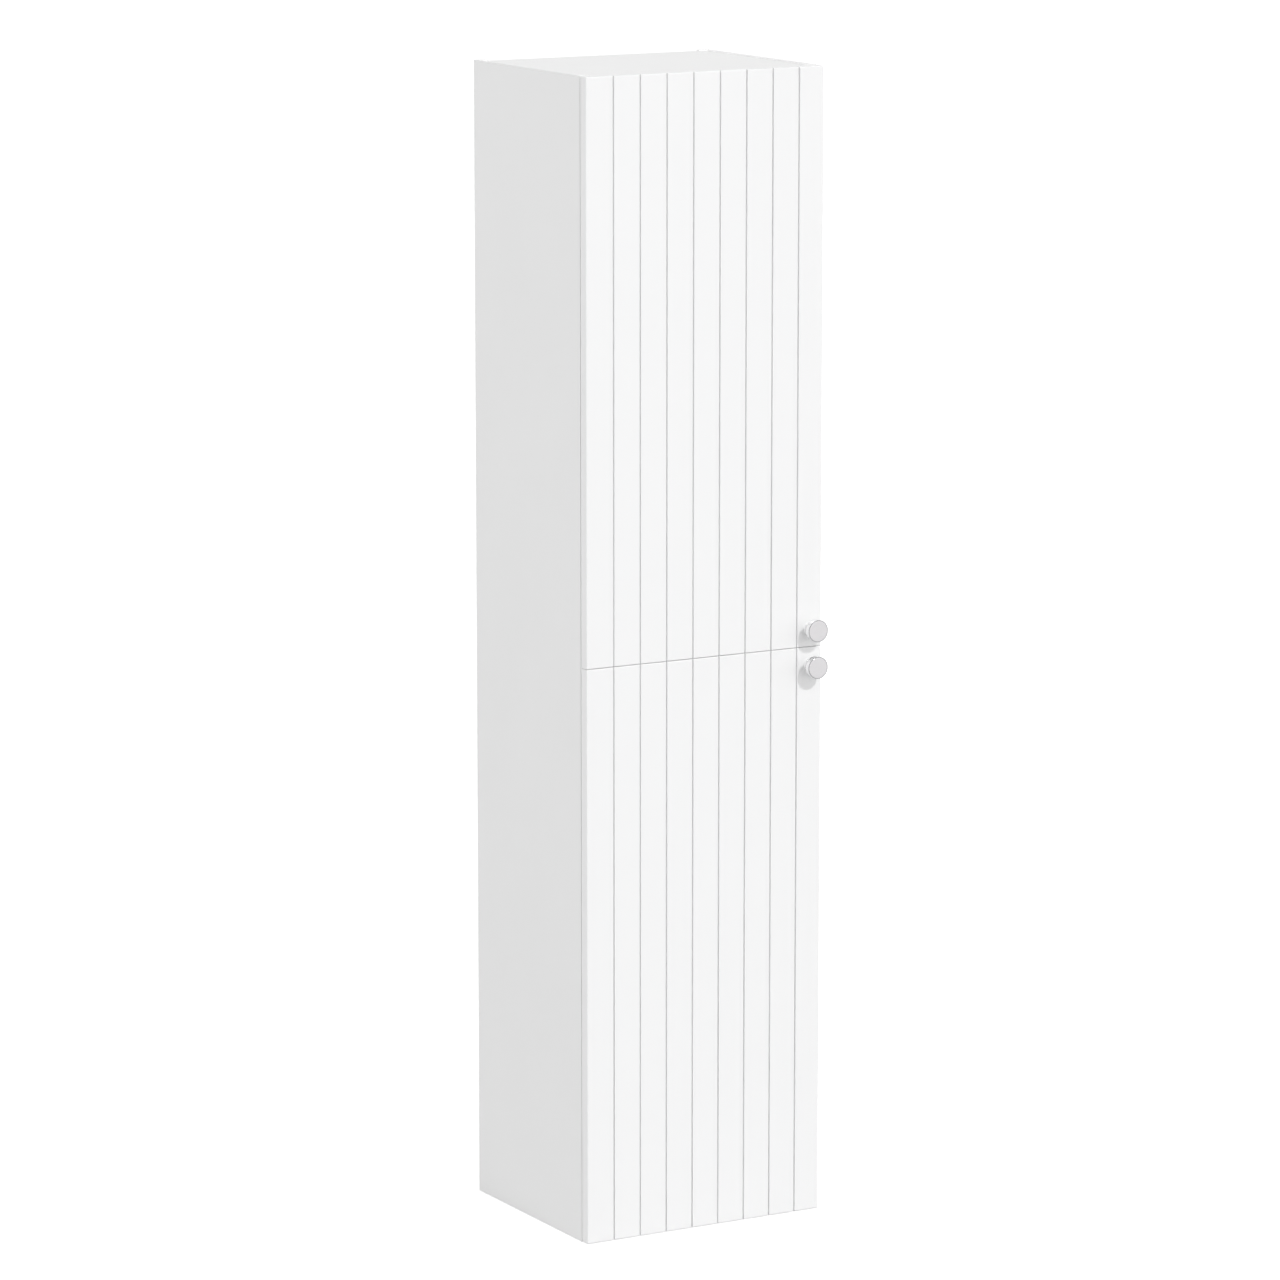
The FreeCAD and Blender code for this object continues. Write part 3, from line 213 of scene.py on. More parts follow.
@dataclass
class PaintWriter(NodeWriter):
    """Adds the textures that the finishes share, all on the piece's own coordinates."""

    def space(self, turn: RGB = (0, 0, 0), scale: RGB = (1, 1, 1), centre: RGB = (0, 0, 0)) -> Socket:
        """The piece's coordinates, moved to a centre, turned and scaled.

        Args:
            turn: Angles about the three axes.
            scale: Factors along the three axes.
            centre: The point that becomes the pattern's middle.

        Returns:
            The mapped coordinates.
        """
        coordinates = self.add("ShaderNodeTexCoord").outputs["Object"]
        shift = tuple(-c for c in centre)
        moved = self.add("ShaderNodeMapping", {"Vector": coordinates, "Location": shift})
        return self.add("ShaderNodeMapping", {
            "Vector": moved.outputs[0], "Rotation": turn, "Scale": scale}).outputs[0]

    def noise(self, space: Socket, scale: float, detail: float = 2.0, rough: float = 0.5) -> Socket:
        """Cloudy noise between 0 and 1."""
        return self.add("ShaderNodeTexNoise", {
            "Vector": space, "Scale": scale, "Detail": detail, "Roughness": rough}).outputs[0]

    def cells(self, space: Socket, scale: float, output: str = "Distance") -> Socket:
        """A cell pattern: the distance to the cell's middle, or one colour for each cell."""
        return self.add("ShaderNodeTexVoronoi", {"Vector": space, "Scale": scale}).outputs[output]

    def spread(self, value: Socket, low: float, high: float,
               start: float = 0.3, end: float = 0.7) -> Socket:
        """Stretch a range of a pattern between two values.

        Args:
            value: The pattern.
            low: The value where the pattern is at start.
            high: The value where it is at end.
            start: The range's beginning.
            end: The range's end.

        Returns:
            The stretched pattern, held between the two values.
        """
        return self.add("ShaderNodeMapRange", {
            "Value": value, "From Min": start, "From Max": end,
            "To Min": low, "To Max": high}).outputs[0]

    def blend(self, share: Socket | float, first: RGB | Socket, second: RGB | Socket) -> Socket:
        """Mix two colours.

        Args:
            share: How much of the second there is, from 0 to 1.
            first: A colour or a pattern.
            second: The other colour or pattern.

        Returns:
            The mixed colour.
        """
        first, second = (colour if isinstance(colour, Socket) else (*colour, 1.0)
                         for colour in (first, second))
        return self.add("ShaderNodeMix", {0: share, 6: first, 7: second},
                        data_type="RGBA").outputs[2]


def cleared(owner: bpy.types.Material | bpy.types.World) -> PaintWriter:
    """Give a material or a world an empty node tree.

    Args:
        owner: What the tree belongs to.

    Returns:
        The writer of the empty tree.
    """
    owner.use_nodes = True
    owner.node_tree.nodes.clear()
    return PaintWriter(owner.node_tree)


def shade(colour: RGB, factor: float) -> RGB:
    """The same colour, lighter or darker."""
    return tuple(min(1.0, channel * factor) for channel in colour)


# ---------------------------------------------------------------- finishes
@dataclass(frozen=True)
class Finish:
    """A surface: its colour and how that drifts, its gloss and its fine relief."""

    name: str
    slot: str
    colour: RGB
    drift: float = 0.01
    drift_scale: float = 7.0
    roughness: float = 0.4
    roughness_spread: float = 0.05
    grain_scale: float = 900.0
    grain_depth: float = 0.02 * MM
    metallic: float = 0.0
    coat: float = 0.0
    coat_roughness: float = 0.1
    patches_per_cloud: float = 6.0

    def pigment(self, paint: PaintWriter) -> Socket:
        """The surface's colour with its slow drift."""
        cloud = paint.spread(paint.noise(paint.space(), self.drift_scale, 3), 0, 1)
        return paint.blend(cloud, shade(self.colour, 1 - self.drift), shade(self.colour, 1 + self.drift))

    def grain(self, paint: PaintWriter) -> Socket:
        """The height of the fine relief, from 0 to 1."""
        return paint.noise(paint.space(), self.grain_scale, 2)

    def gloss(self, paint: PaintWriter) -> Socket:
        """The roughness, a little uneven.

        Args:
            paint: The writer of the material's tree.

        Returns:
            The roughness.
        """
        patches = paint.noise(paint.space(), self.drift_scale * self.patches_per_cloud, 4)
        low, high = self.roughness - self.roughness_spread, self.roughness + self.roughness_spread
        return paint.spread(patches, low, high)

    def shader(self, paint: PaintWriter) -> bpy.types.Node:
        """The shader with its textures.

        Args:
            paint: The writer of the material's tree.

        Returns:
            The shader's node.
        """
        bump = paint.add("ShaderNodeBump", {
            "Height": self.grain(paint), "Distance": self.grain_depth, "Strength": 1.0})
        return paint.add("ShaderNodeBsdfPrincipled", {
            "Base Color": self.pigment(paint), "Roughness": self.gloss(paint),
            "Normal": bump.outputs[0], "Metallic": self.metallic,
            "Coat Weight": self.coat, "Coat Roughness": self.coat_roughness})

    def material(self) -> bpy.types.Material:
        """Make the finish's material the first time, and find it later.

        Returns:
            The material.
        """
        made = bpy.data.materials.get(self.name)
        if made is None:
            made = bpy.data.materials.new(self.name)
            paint = cleared(made)
            surface = self.shader(paint).outputs[0]
            paint.add("ShaderNodeOutputMaterial", {"Surface": surface})
        return made


@dataclass(frozen=True)
class Melamine(Finish):
    """A pressed resin surface with a fine pearl of raised dots."""

    dot_height: float = 0.7
    dots_per_ripple: float = 6.0

    def grain(self, paint: PaintWriter) -> Socket:
        """Shallow dots over a slow ripple.

        Args:
            paint: The writer of the material's tree.

        Returns:
            The height.
        """
        dots = paint.cells(paint.space(), self.grain_scale)
        ripple = paint.noise(paint.space(), self.grain_scale / self.dots_per_ripple, 2)
        return paint.math("ADD", paint.math("MULTIPLY", dots, self.dot_height), ripple)


@dataclass(frozen=True)
class Chipboard(Finish):
    """A sawn edge of pressed wood flakes."""

    dark: RGB = (0.30, 0.19, 0.10)
    flake_scale: float = 420.0
    flatness: float = 2.2
    pores_per_flake: float = 1.6

    def pigment(self, paint: PaintWriter) -> Socket:
        """Flakes of several browns with dark pores between them.

        Args:
            paint: The writer of the material's tree.

        Returns:
            The colour.
        """
        space = paint.space(scale=(1, 1, self.flatness))
        flakes = paint.cells(space, self.flake_scale, "Color")
        tone = paint.spread(flakes, 0, 1, 0.1, 0.9)
        body = paint.blend(tone, shade(self.colour, 0.78), shade(self.colour, 1.15))
        holes = paint.noise(space, self.flake_scale * self.pores_per_flake, 4, 0.7)
        pores = paint.spread(holes, 1, 0, 0.34, 0.46)
        return paint.blend(pores, body, self.dark)

    def grain(self, paint: PaintWriter) -> Socket:
        """The rough ends of the flakes."""
        space = paint.space(scale=(1, 1, self.flatness))
        return paint.noise(space, self.flake_scale * self.pores_per_flake, 4, 0.7)


@dataclass(frozen=True)
class Hardboard(Finish):
    """The fibre side of a thin board, with the print of the press screen."""

    screen_pitch: float = 1.6 * MM
    fibre_scale: float = 260.0

    def pigment(self, paint: PaintWriter) -> Socket:
        """Matted fibres in close browns, with slow darker clouds.

        Args:
            paint: The writer of the material's tree.

        Returns:
            The colour.
        """
        fibres = paint.noise(paint.space(scale=(1, 1, 3)), self.fibre_scale, 6, 0.65)
        matted = paint.blend(paint.spread(fibres, 0, 1), shade(self.colour, 0.82),
                             shade(self.colour, 1.12))
        clouds = paint.spread(paint.noise(paint.space(scale=(1, 1, 0.5)), self.drift_scale, 6, 0.7),
                              0, self.drift)
        return paint.blend(clouds, matted, shade(self.colour, 0.7))

    def grain(self, paint: PaintWriter) -> Socket:
        """A woven waffle: two crossed waves.

        Args:
            paint: The writer of the material's tree.

        Returns:
            The height.
        """
        turns = math.tau / self.screen_pitch
        split = paint.add("ShaderNodeSeparateXYZ", {"Vector": paint.space(turn=(0, math.pi / 4, 0))})
        across = paint.math("SINE", paint.math("MULTIPLY", split.outputs["X"], turns))
        along = paint.math("SINE", paint.math("MULTIPLY", split.outputs["Z"], turns))
        return paint.math("MULTIPLY", across, along)


@dataclass(frozen=True)
class Brushed(Finish):
    """Metal with long fine scratches along one direction."""

    stretch: RGB = (1.0, 1.0, 0.03)

    def grain(self, paint: PaintWriter) -> Socket:
        """Scratches drawn out along the brushing."""
        return paint.noise(paint.space(scale=self.stretch), self.grain_scale, 3, 0.6)


@dataclass(frozen=True)
class Turned(Finish):
    """A faced metal disc with rings about its own middle."""

    middle: RGB = (0, 0, 0)
    ring_pitch: float = 0.22 * MM
    wobble_scale: float = 600.0
    wobble_turn: float = 2.5

    def grain(self, paint: PaintWriter) -> Socket:
        """Rings that waver a little on their way round.

        Args:
            paint: The writer of the material's tree.

        Returns:
            The height.
        """
        space = paint.space(centre=self.middle, scale=(1, 0, 1))
        radius = paint.add("ShaderNodeVectorMath", {0: space}, operation="LENGTH").outputs["Value"]
        wobble = paint.math("MULTIPLY", paint.noise(space, self.wobble_scale, 2), self.wobble_turn)
        phase = paint.math("ADD", paint.math("MULTIPLY", radius, math.tau / self.ring_pitch), wobble)
        return paint.math("SINE", phase)


@dataclass(frozen=True)
class Spangled(Finish):
    """Hot-dipped zinc with its frost of flat crystals."""

    crystal_scale: float = 140.0

    def pigment(self, paint: PaintWriter) -> Socket:
        """Each crystal has its own grey."""
        crystals = paint.cells(paint.space(), self.crystal_scale, "Color")
        return paint.blend(crystals, shade(self.colour, 0.8), shade(self.colour, 1.12))

    def gloss(self, paint: PaintWriter) -> Socket:
        """Each crystal shines in its own way.

        Args:
            paint: The writer of the material's tree.

        Returns:
            The roughness.
        """
        crystals = paint.cells(paint.space(), self.crystal_scale, "Color")
        low, high = self.roughness - self.roughness_spread, self.roughness + self.roughness_spread
        return paint.spread(crystals, low, high, 0, 1)


@dataclass(frozen=True)
class Timber(Finish):
    """Planed wood with its grain along X and short dark rays."""

    streak_scale: float = 700.0
    fleck_scale: float = 900.0

    def pigment(self, paint: PaintWriter) -> Socket:
        """Streaks and flecks drawn out along the grain.

        Args:
            paint: The writer of the material's tree.

        Returns:
            The colour.
        """
        fibres = paint.noise(paint.space(scale=(0.06, 1, 1)), self.streak_scale, 4, 0.6)
        streaks = paint.spread(fibres, 0, 1)
        rays = paint.cells(paint.space(scale=(0.25, 1, 1)), self.fleck_scale)
        flecks = paint.spread(rays, 1, 0, 0.05, 0.2)
        wood = paint.blend(streaks, shade(self.colour, 0.85), shade(self.colour, 1.08))
        return paint.blend(paint.math("MULTIPLY", flecks, 0.5), wood, shade(self.colour, 0.6))


@dataclass(frozen=True)
class Gel(Finish):
    """Soft clear rubber."""

    def shader(self, paint: PaintWriter) -> bpy.types.Node:
        """A clear body with a dull skin.

        Args:
            paint: The writer of the material's tree.

        Returns:
            The shader's node.
        """
        return paint.add("ShaderNodeBsdfPrincipled", {
            "Base Color": self.pigment(paint), "Roughness": self.gloss(paint),
            "IOR": 1.41, "Transmission Weight": 0.85})


FOIL = Finish("door_foil_satin", "door_foil", (0.925, 0.926, 0.928), drift=0.004, roughness=0.36,
              roughness_spread=0.04, grain_scale=520, grain_depth=0.012 * MM, coat=0.12,
              coat_roughness=0.22)
# Painted shade: the groove walls and floors get a darker copy of the door foil, so the grooves read
# darker than the face.
GROOVE_FOIL_PAINTED_SHADE = Finish("door_foil_groove_painted_shade", "door_foil", (0.875, 0.877, 0.88), drift=0.01,
                     roughness=0.42, roughness_spread=0.04, grain_scale=520,
                     grain_depth=0.012 * MM)
DOOR_BACK = Melamine("door_back_white", "door_foil", (0.90, 0.90, 0.90), drift=0.006, roughness=0.46,
                     grain_scale=1500, grain_depth=0.02 * MM)
FIBREBOARD = Chipboard("fibreboard_core", "door_foil", (0.55, 0.40, 0.25), roughness=0.9,
                       grain_depth=0.05 * MM, dark=(0.36, 0.24, 0.13), flake_scale=2600)
BOARD = Melamine("board_melamine", "white_board", (0.925, 0.926, 0.925), drift=0.006, roughness=0.48,
                 grain_scale=1300, grain_depth=0.03 * MM)
BAND = Finish("board_edge_band", "white_board", (0.925, 0.926, 0.925), drift=0.003, roughness=0.4,
              roughness_spread=0.03, grain_scale=700, grain_depth=0.01 * MM)
GLUE_LINE = Finish("board_glue_line", "white_board", (0.66, 0.65, 0.62), roughness=0.7)
CORE = Chipboard("board_chip_core", "white_board", (0.62, 0.47, 0.31), roughness=0.92,
                 grain_depth=0.25 * MM)
BACK_FRONT = Melamine("back_board_white", "back_board", (0.90, 0.90, 0.90), drift=0.008,
                      roughness=0.5, grain_scale=1100, grain_depth=0.02 * MM)
BACK_REAR = Hardboard("back_board_fibre", "back_board", (0.40, 0.27, 0.16), drift=0.55,
                      drift_scale=16, roughness=0.85, grain_depth=0.08 * MM)
# Painted bright reflection: chrome lightened to nearly white for the knob's foot, neck and side band.
CHROME_PAINTED_BRIGHT = Finish("knob_chrome_painted_bright_reflection", "knob_chrome", (0.90, 0.90, 0.905), drift=0.01,
                drift_scale=40, roughness=0.08, roughness_spread=0.02, grain_scale=300,
                grain_depth=0.001 * MM, metallic=1.0)
# Painted dark reflection: a darkened copy of the same chrome for the knob's rim rounds.
RIM_PAINTED_DARK_REFLECTION = Finish("knob_rim_painted_dark_reflection", "knob_chrome", (0.44, 0.44, 0.45), drift=0.02,
                    drift_scale=60, roughness=0.14, roughness_spread=0.03, grain_scale=500,
                    grain_depth=0.001 * MM, metallic=1.0)
NICKEL = Brushed("hinge_nickel", "nickel_steel", (0.74, 0.73, 0.71), drift=0.015, drift_scale=60,
                 roughness=0.27, roughness_spread=0.02, grain_scale=1200, grain_depth=0.0006 * MM,
                 metallic=1.0)
GALVANISED = Spangled("galvanised_sheet", "galvanised_steel", (0.66, 0.68, 0.70), roughness=0.42,
                      roughness_spread=0.14, grain_depth=0.004 * MM, metallic=1.0)
PLATED = Finish("screw_bright_plate", "screw_steel", (0.72, 0.72, 0.71), drift=0.05,
                drift_scale=160, roughness=0.3, roughness_spread=0.08, grain_scale=3000,
                grain_depth=0.004 * MM, metallic=1.0)
DIE_CAST = Finish("cam_die_cast", "zinc", (0.60, 0.60, 0.61), drift=0.06, drift_scale=220,
                  roughness=0.5, roughness_spread=0.08, grain_scale=2600, grain_depth=0.02 * MM,
                  metallic=1.0)
MOULDED = Finish("moulded_white", "white_plastic", (0.88, 0.88, 0.87), drift=0.01, roughness=0.45,
                 grain_scale=1900, grain_depth=0.02 * MM)
SILICONE = Gel("clear_gel", "clear_silicone", (0.93, 0.94, 0.94), roughness=0.18)
BEECH = Timber("beech_wood", "beech", (0.72, 0.52, 0.32), roughness=0.6, grain_scale=1400,
               grain_depth=0.03 * MM)


# ---------------------------------------------------------------- meshes
def in_scene(name: str, data: bpy.types.ID) -> bpy.types.Object:
    """Put a mesh, a lamp or a camera into the scene.

    Args:
        name: The object's name.
        data: What it shows, shines or sees with.

    Returns:
        The object.
    """
    made = bpy.data.objects.new(name, data)
    bpy.context.scene.collection.objects.link(made)
    return made


def settle(made: bpy.types.Object, body: str, node: str) -> None:
    """Let a finished piece move with its body and stand for its CAD node.

    Args:
        made: The piece, at the origin.
        body: The CAD body that it rides on.
        node: The CAD node that it replaces.
    """
    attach(made, body)
    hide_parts(node)
    LOG.info("%-34s %6d faces, on %s", made.name, len(made.data.polygons), body)


def welded(node: str) -> bmesh.types.BMesh:
    """Copy a node's mesh with its corners welded.

    Args:
        node: The CAD node.

    Returns:
        The working shape, of triangles.
    """
    shape = bmesh.new()
    shape.from_mesh(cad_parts[node].data)
    bmesh.ops.remove_doubles(shape, verts=shape.verts, dist=MERGE)
    return shape


def merged_copy(node: str) -> bmesh.types.BMesh:
    """Copy a node's mesh with its triangles joined into flat faces.

    Args:
        node: The CAD node.

    Returns:
        The working shape.
    """
    shape = welded(node)
    bmesh.ops.dissolve_degenerate(shape, dist=MERGE, edges=shape.edges)
    bmesh.ops.dissolve_limit(shape, angle_limit=math.radians(COPLANAR), verts=shape.verts,
                             edges=shape.edges, delimit={"NORMAL"})
    return shape


def shaded(mesh: bpy.types.Mesh, sharp: float) -> bpy.types.Mesh:
    """Shade a mesh smooth except at sharp edges.

    Args:
        mesh: The mesh.
        sharp: The angle in degrees from which an edge stays sharp.

    Returns:
        The same mesh.
    """
    mesh.shade_smooth()
    mesh.set_sharp_from_angle(angle=math.radians(sharp))
    return mesh


def to_mesh(name: str, shape: bmesh.types.BMesh, sharp: float = CREASE) -> bpy.types.Mesh:
    """Turn a working shape into a mesh that is smooth except at sharp edges.

    Args:
        name: The mesh's name.
        shape: The working shape, which is freed.
        sharp: The angle in degrees from which an edge stays sharp.

    Returns:
        The mesh.
    """
    mesh = bpy.data.meshes.new(name)
    shape.to_mesh(mesh)
    shape.free()
    return shaded(mesh, sharp)


def soften(made: bpy.types.Object, width: float) -> None:
    """Round the edges of a piece a little, with even shading.

    Args:
        made: The piece.
        width: How far the rounding reaches from an edge.
    """
    bevel = made.modifiers.new("soft_edges", "BEVEL")
    bevel.width = width
    bevel.segments = BEVEL_STEPS
    bevel.limit_method = "ANGLE"
    bevel.angle_limit = math.radians(BEVEL_FROM)
    bevel.use_clamp_overlap = True
    even_shading(made)


def even_shading(made: bpy.types.Object) -> None:
    """Keep broad faces flat where they meet small rounded ones."""
    even = made.modifiers.new("even_shading", "WEIGHTED_NORMAL")
    even.keep_sharp = True


def solids_of(node: str) -> list[tuple[Vector, Vector]]:
    """Find the box of each separate solid of a node.

    Args:
        node: The CAD node.

    Returns:
        The lowest and the highest corner of each box.
    """
    shape = welded(node)
    found, seen = [], set()
    for start in shape.verts:
        if start in seen:
            continue
        stack, corners = [start], []
        seen.add(start)
        while stack:
            here = stack.pop()
            corners.append(here.co.copy())
            for edge in here.link_edges:
                other = edge.other_vert(here)
                if other not in seen:
                    seen.add(other)
                    stack.append(other)
        found.append(tuple(Vector(pick(c[axis] for c in corners) for axis in range(3))
                           for pick in (min, max)))
    shape.free()
    return found


def lathe(profile: list[tuple[float, float]], segments: int, place: Matrix) -> bmesh.types.BMesh:
    """Turn a profile about an axis into a closed shape.

    Args:
        profile: Radius and height of each point, from the axis back to the axis.
        segments: How many steps go round.
        place: Puts the shape, turned about +Z, where it belongs.

    Returns:
        The working shape, its faces outwards.
    """
    shape = bmesh.new()
    rings = []
    for radius, height in profile:
        steps = 1 if radius < MERGE else segments
        rings.append([shape.verts.new(place @ Vector((
            radius * math.cos(math.tau * step / segments),
            radius * math.sin(math.tau * step / segments), height))) for step in range(steps)])
    for low, high in zip(rings, rings[1:]):
        for step in range(segments):
            after = (step + 1) % segments
            corners = [low[step % len(low)], low[after % len(low)],
                       high[after % len(high)], high[step % len(high)]]
            shape.faces.new(list(dict.fromkeys(corners)))
    bmesh.ops.recalc_face_normals(shape, faces=shape.faces)
    return shape


def arc(centre: tuple[float, float], radius: float, start: float, end: float,
        steps: int) -> list[tuple[float, float]]:
    """Points along an arc.

    Args:
        centre: The arc's middle.
        radius: The arc's radius.
        start: The first point's angle in degrees.
        end: The last point's angle in degrees.
        steps: How many steps lie between them.

    Returns:
        The points, both ends among them.
    """
    angles = [math.radians(start + (end - start) * step / steps) for step in range(steps + 1)]
    return [(centre[0] + radius * math.cos(a), centre[1] + radius * math.sin(a)) for a in angles]


# ---------------------------------------------------------------- repeated fittings
@dataclass(frozen=True)
class Spot:
    """Where a repeated fitting sits and which way its own Z axis points."""

    place: Vector
    aim: Vector


@dataclass(frozen=True)
class Repeat(ABC):
    """A geometry-node tree that sets one fitting, with the class's sizes, at every spot."""

    finish: Finish

    @abstractmethod
    def fitting(self, nodes: ShapeWriter, size: dict[str, Socket]) -> Socket:
        """The fitting in its own frame, from the tree's named sizes."""

    def sizes(self) -> dict[str, float]:
        """The fitting's own numbers by name."""
        return {item.name: getattr(self, item.name) for item in fields(self)
                if item.type in (int, float)}

    def tree(self) -> bpy.types.NodeTree:
        """Write the whole tree.

        Returns:
            The tree: spots in, fittings out.
        """
        tree = bpy.data.node_groups.new(type(self).__name__, "GeometryNodeTree")
        tree.interface.new_socket("spots", in_out="INPUT", socket_type="NodeSocketGeometry")
        tree.interface.new_socket("fittings", in_out="OUTPUT", socket_type="NodeSocketGeometry")
        for name in self.sizes():
            tree.interface.new_socket(name, in_out="INPUT", socket_type="NodeSocketFloat")
        nodes = ShapeWriter(tree)
        given = nodes.add("NodeGroupInput").outputs
        shape = self.fitting(nodes, {name: given[name] for name in self.sizes()})
        aim = nodes.add("GeometryNodeInputNamedAttribute", {"Name": "aim"},
                        data_type="FLOAT_VECTOR").outputs[0]
        turned = nodes.add("FunctionNodeAlignRotationToVector", {"Vector": aim}, axis="Z")
        upright = nodes.add("FunctionNodeAlignRotationToVector", {
            "Rotation": turned.outputs[0], "Vector": (0, 0, 1)}, axis="X", pivot_axis="Z")
        placed = nodes.add("GeometryNodeInstanceOnPoints", {
            "Points": given["spots"], "Instance": shape, "Rotation": upright.outputs[0]})
        real = nodes.add("GeometryNodeRealizeInstances", {0: placed.outputs[0]})
        painted = nodes.add("GeometryNodeSetMaterial", {
            "Geometry": real.outputs[0], "Material": self.finish.material()})
        nodes.add("NodeGroupOutput", {0: painted.outputs[0]})
        return tree

    def mesh(self, name: str, spots: list[Spot], sharp: float) -> bpy.types.Mesh:
        """Run the tree on the spots.

        Args:
            name: The mesh's name.
            spots: Where the fittings go.
            sharp: The angle in degrees from which an edge stays sharp.

        Returns:
            One plain mesh of all the fittings.
        """
        points = bpy.data.meshes.new(name + "_spots")
        points.from_pydata([tuple(spot.place) for spot in spots], [], [])
        aim = points.attributes.new("aim", "FLOAT_VECTOR", "POINT")
        aim.data.foreach_set("vector", [value for spot in spots for value in spot.aim])
        carrier = in_scene(name + "_carrier", points)
        modifier = carrier.modifiers.new("repeat", "NODES")
        modifier.node_group = self.tree()
        sizes = self.sizes()
        for item in modifier.node_group.interface.items_tree:
            if item.name in sizes:
                modifier[item.identifier] = sizes[item.name]
        ready = carrier.evaluated_get(bpy.context.evaluated_depsgraph_get())
        mesh = bpy.data.meshes.new_from_object(ready)
        mesh.name = name
        bpy.data.objects.remove(carrier)
        return shaded(mesh, sharp)

    def build(self, node: str, name: str, body: str, spots: list[Spot],
              sharp: float = CREASE) -> None:
        """Make all the fittings of a node and put them in its place.

        Args:
            node: The CAD node.
            name: The piece's name.
            body: The CAD body that it rides on.
            spots: Where the fittings go.
            sharp: The angle in degrees from which an edge stays sharp.
        """
        settle(in_scene(name, self.mesh(name, spots, sharp)), body, node)


@dataclass(frozen=True)
class Screws(Repeat):
    """Threaded screws with a crossed drive; Z runs from the top of the head to the tip."""

    RIM_SHARE = 0.2
    BARE_SHARE = 0.35
    TIP_RADII = 1.2
    HEAD_STEPS = 32
    SHANK_STEPS = 24
    THREAD_STEPS = 14

    head_radius: float
    head_height: float
    under_radius: float
    shank_radius: float
    length: float
    drive_length: float
    drive_depth: float
    drive_width: float = 0.8 * MM
    thread_pitch: float = 1.2 * MM
    thread_height: float = 0.22 * MM

    def fitting(self, nodes: ShapeWriter, size: dict[str, Socket]) -> Socket:
        """A rimmed head, a shank with a point, a helical thread and the drive cut out.

        Args:
            nodes: The writer of the tree.
            size: The screw's named sizes.

        Returns:
            The screw.
        """
        head, shank = size["head_radius"], size["shank_radius"]
        rim = nodes.math("MULTIPLY", size["head_height"], self.RIM_SHARE)
        below_rim = nodes.math("SUBTRACT", size["head_height"], rim)
        to_point = nodes.math("SUBTRACT", size["length"], shank)
        top = nodes.cone(self.HEAD_STEPS, nodes.math("SUBTRACT", head, rim), head, rim)
        skirt = nodes.cone(self.HEAD_STEPS, head, size["under_radius"], below_rim)
        rod = nodes.rod(self.SHANK_STEPS, shank, to_point)
        point = nodes.cone(self.SHANK_STEPS, shank, 0.0, shank)
        whole = nodes.boolean("UNION", [
            top, nodes.raised(skirt, rim),
            nodes.raised(rod, nodes.math("MULTIPLY", to_point, 0.5)),
            nodes.raised(point, to_point)])
        driven = nodes.boolean("DIFFERENCE", nodes.crossed_bars(size), whole)
        return nodes.join([driven, self.thread(nodes, size)])

    def thread(self, nodes: ShapeWriter, size: dict[str, Socket]) -> Socket:
        """A three-sided ridge that climbs the shank.

        Args:
            nodes: The writer of the tree.
            size: The screw's named sizes.

        Returns:
            The ridge, from a third of the way down to just above the point.
        """
        shank = size["shank_radius"]
        start = nodes.math("MULTIPLY", size["length"], self.BARE_SHARE)
        rise = nodes.math("SUBTRACT", size["length"], nodes.math(
            "ADD", start, nodes.math("MULTIPLY", shank, self.TIP_RADII)))
        line = nodes.add("GeometryNodeCurveSpiral", {
            "Resolution": self.THREAD_STEPS, "Height": rise, "Start Radius": shank,
            "End Radius": shank,
            "Rotations": nodes.math("DIVIDE", rise, size["thread_pitch"])}).outputs[0]
        ridge = nodes.add("GeometryNodeCurvePrimitiveCircle", {
            "Resolution": 3, "Radius": size["thread_height"]}).outputs[0]
        tube = nodes.add("GeometryNodeCurveToMesh", {
            "Curve": line, "Profile Curve": ridge, "Fill Caps": True}).outputs[0]
        return nodes.raised(tube, start)


@dataclass(frozen=True)
class ShelfPins(Repeat):
    """Shelf supports: a round pin along Z with a tapered nose, and a rounded tab behind it."""

    PIN_STEPS = 28
    CORNER_STEPS = 4
    NOSE_SHARE = 0.8

    pin_radius: float = 2.45 * MM
    pin_length: float = 8.5 * MM
    tab_thickness: float = 3 * MM
    tab_length: float = 9 * MM
    corner_radius: float = 0.5 * MM

    def fitting(self, nodes: ShapeWriter, size: dict[str, Socket]) -> Socket:
        """The pin into the side panel and the tab under the shelf.

        Args:
            nodes: The writer of the tree.
            size: The support's named sizes.

        Returns:
            The support.
        """
        radius, length, corner = size["pin_radius"], size["pin_length"], size["corner_radius"]
        pin = nodes.rod(self.PIN_STEPS, radius, length)
        pin = nodes.raised(pin, nodes.math("MULTIPLY", length, 0.5))
        tip_radius = nodes.math("MULTIPLY", radius, self.NOSE_SHARE)
        nose = nodes.cone(self.PIN_STEPS, radius, tip_radius, corner)
        outline = nodes.add("GeometryNodeCurvePrimitiveQuadrilateral", {
            "Width": size["tab_thickness"], "Height": size["tab_length"]}).outputs[0]
        rounded = nodes.add("GeometryNodeFilletCurve", {
            "Curve": outline, "Radius": corner, "Count": self.CORNER_STEPS}, mode="POLY").outputs[0]
        flat = nodes.add("GeometryNodeFillCurve", {"Curve": rounded}).outputs[0]
        walls = nodes.add("GeometryNodeExtrudeMesh", {
            "Mesh": flat, "Offset Scale": size["tab_length"]}).outputs[0]
        under = nodes.add("GeometryNodeFlipFaces", {"Mesh": flat}).outputs[0]
        closed = nodes.add("GeometryNodeMergeByDistance", {
            "Geometry": nodes.join([walls, under]), "Distance": MERGE}).outputs[0]
        tab = nodes.raised(closed, nodes.math("MULTIPLY", size["tab_length"], -1.0))
        return nodes.join([pin, nodes.raised(nose, length), tab])


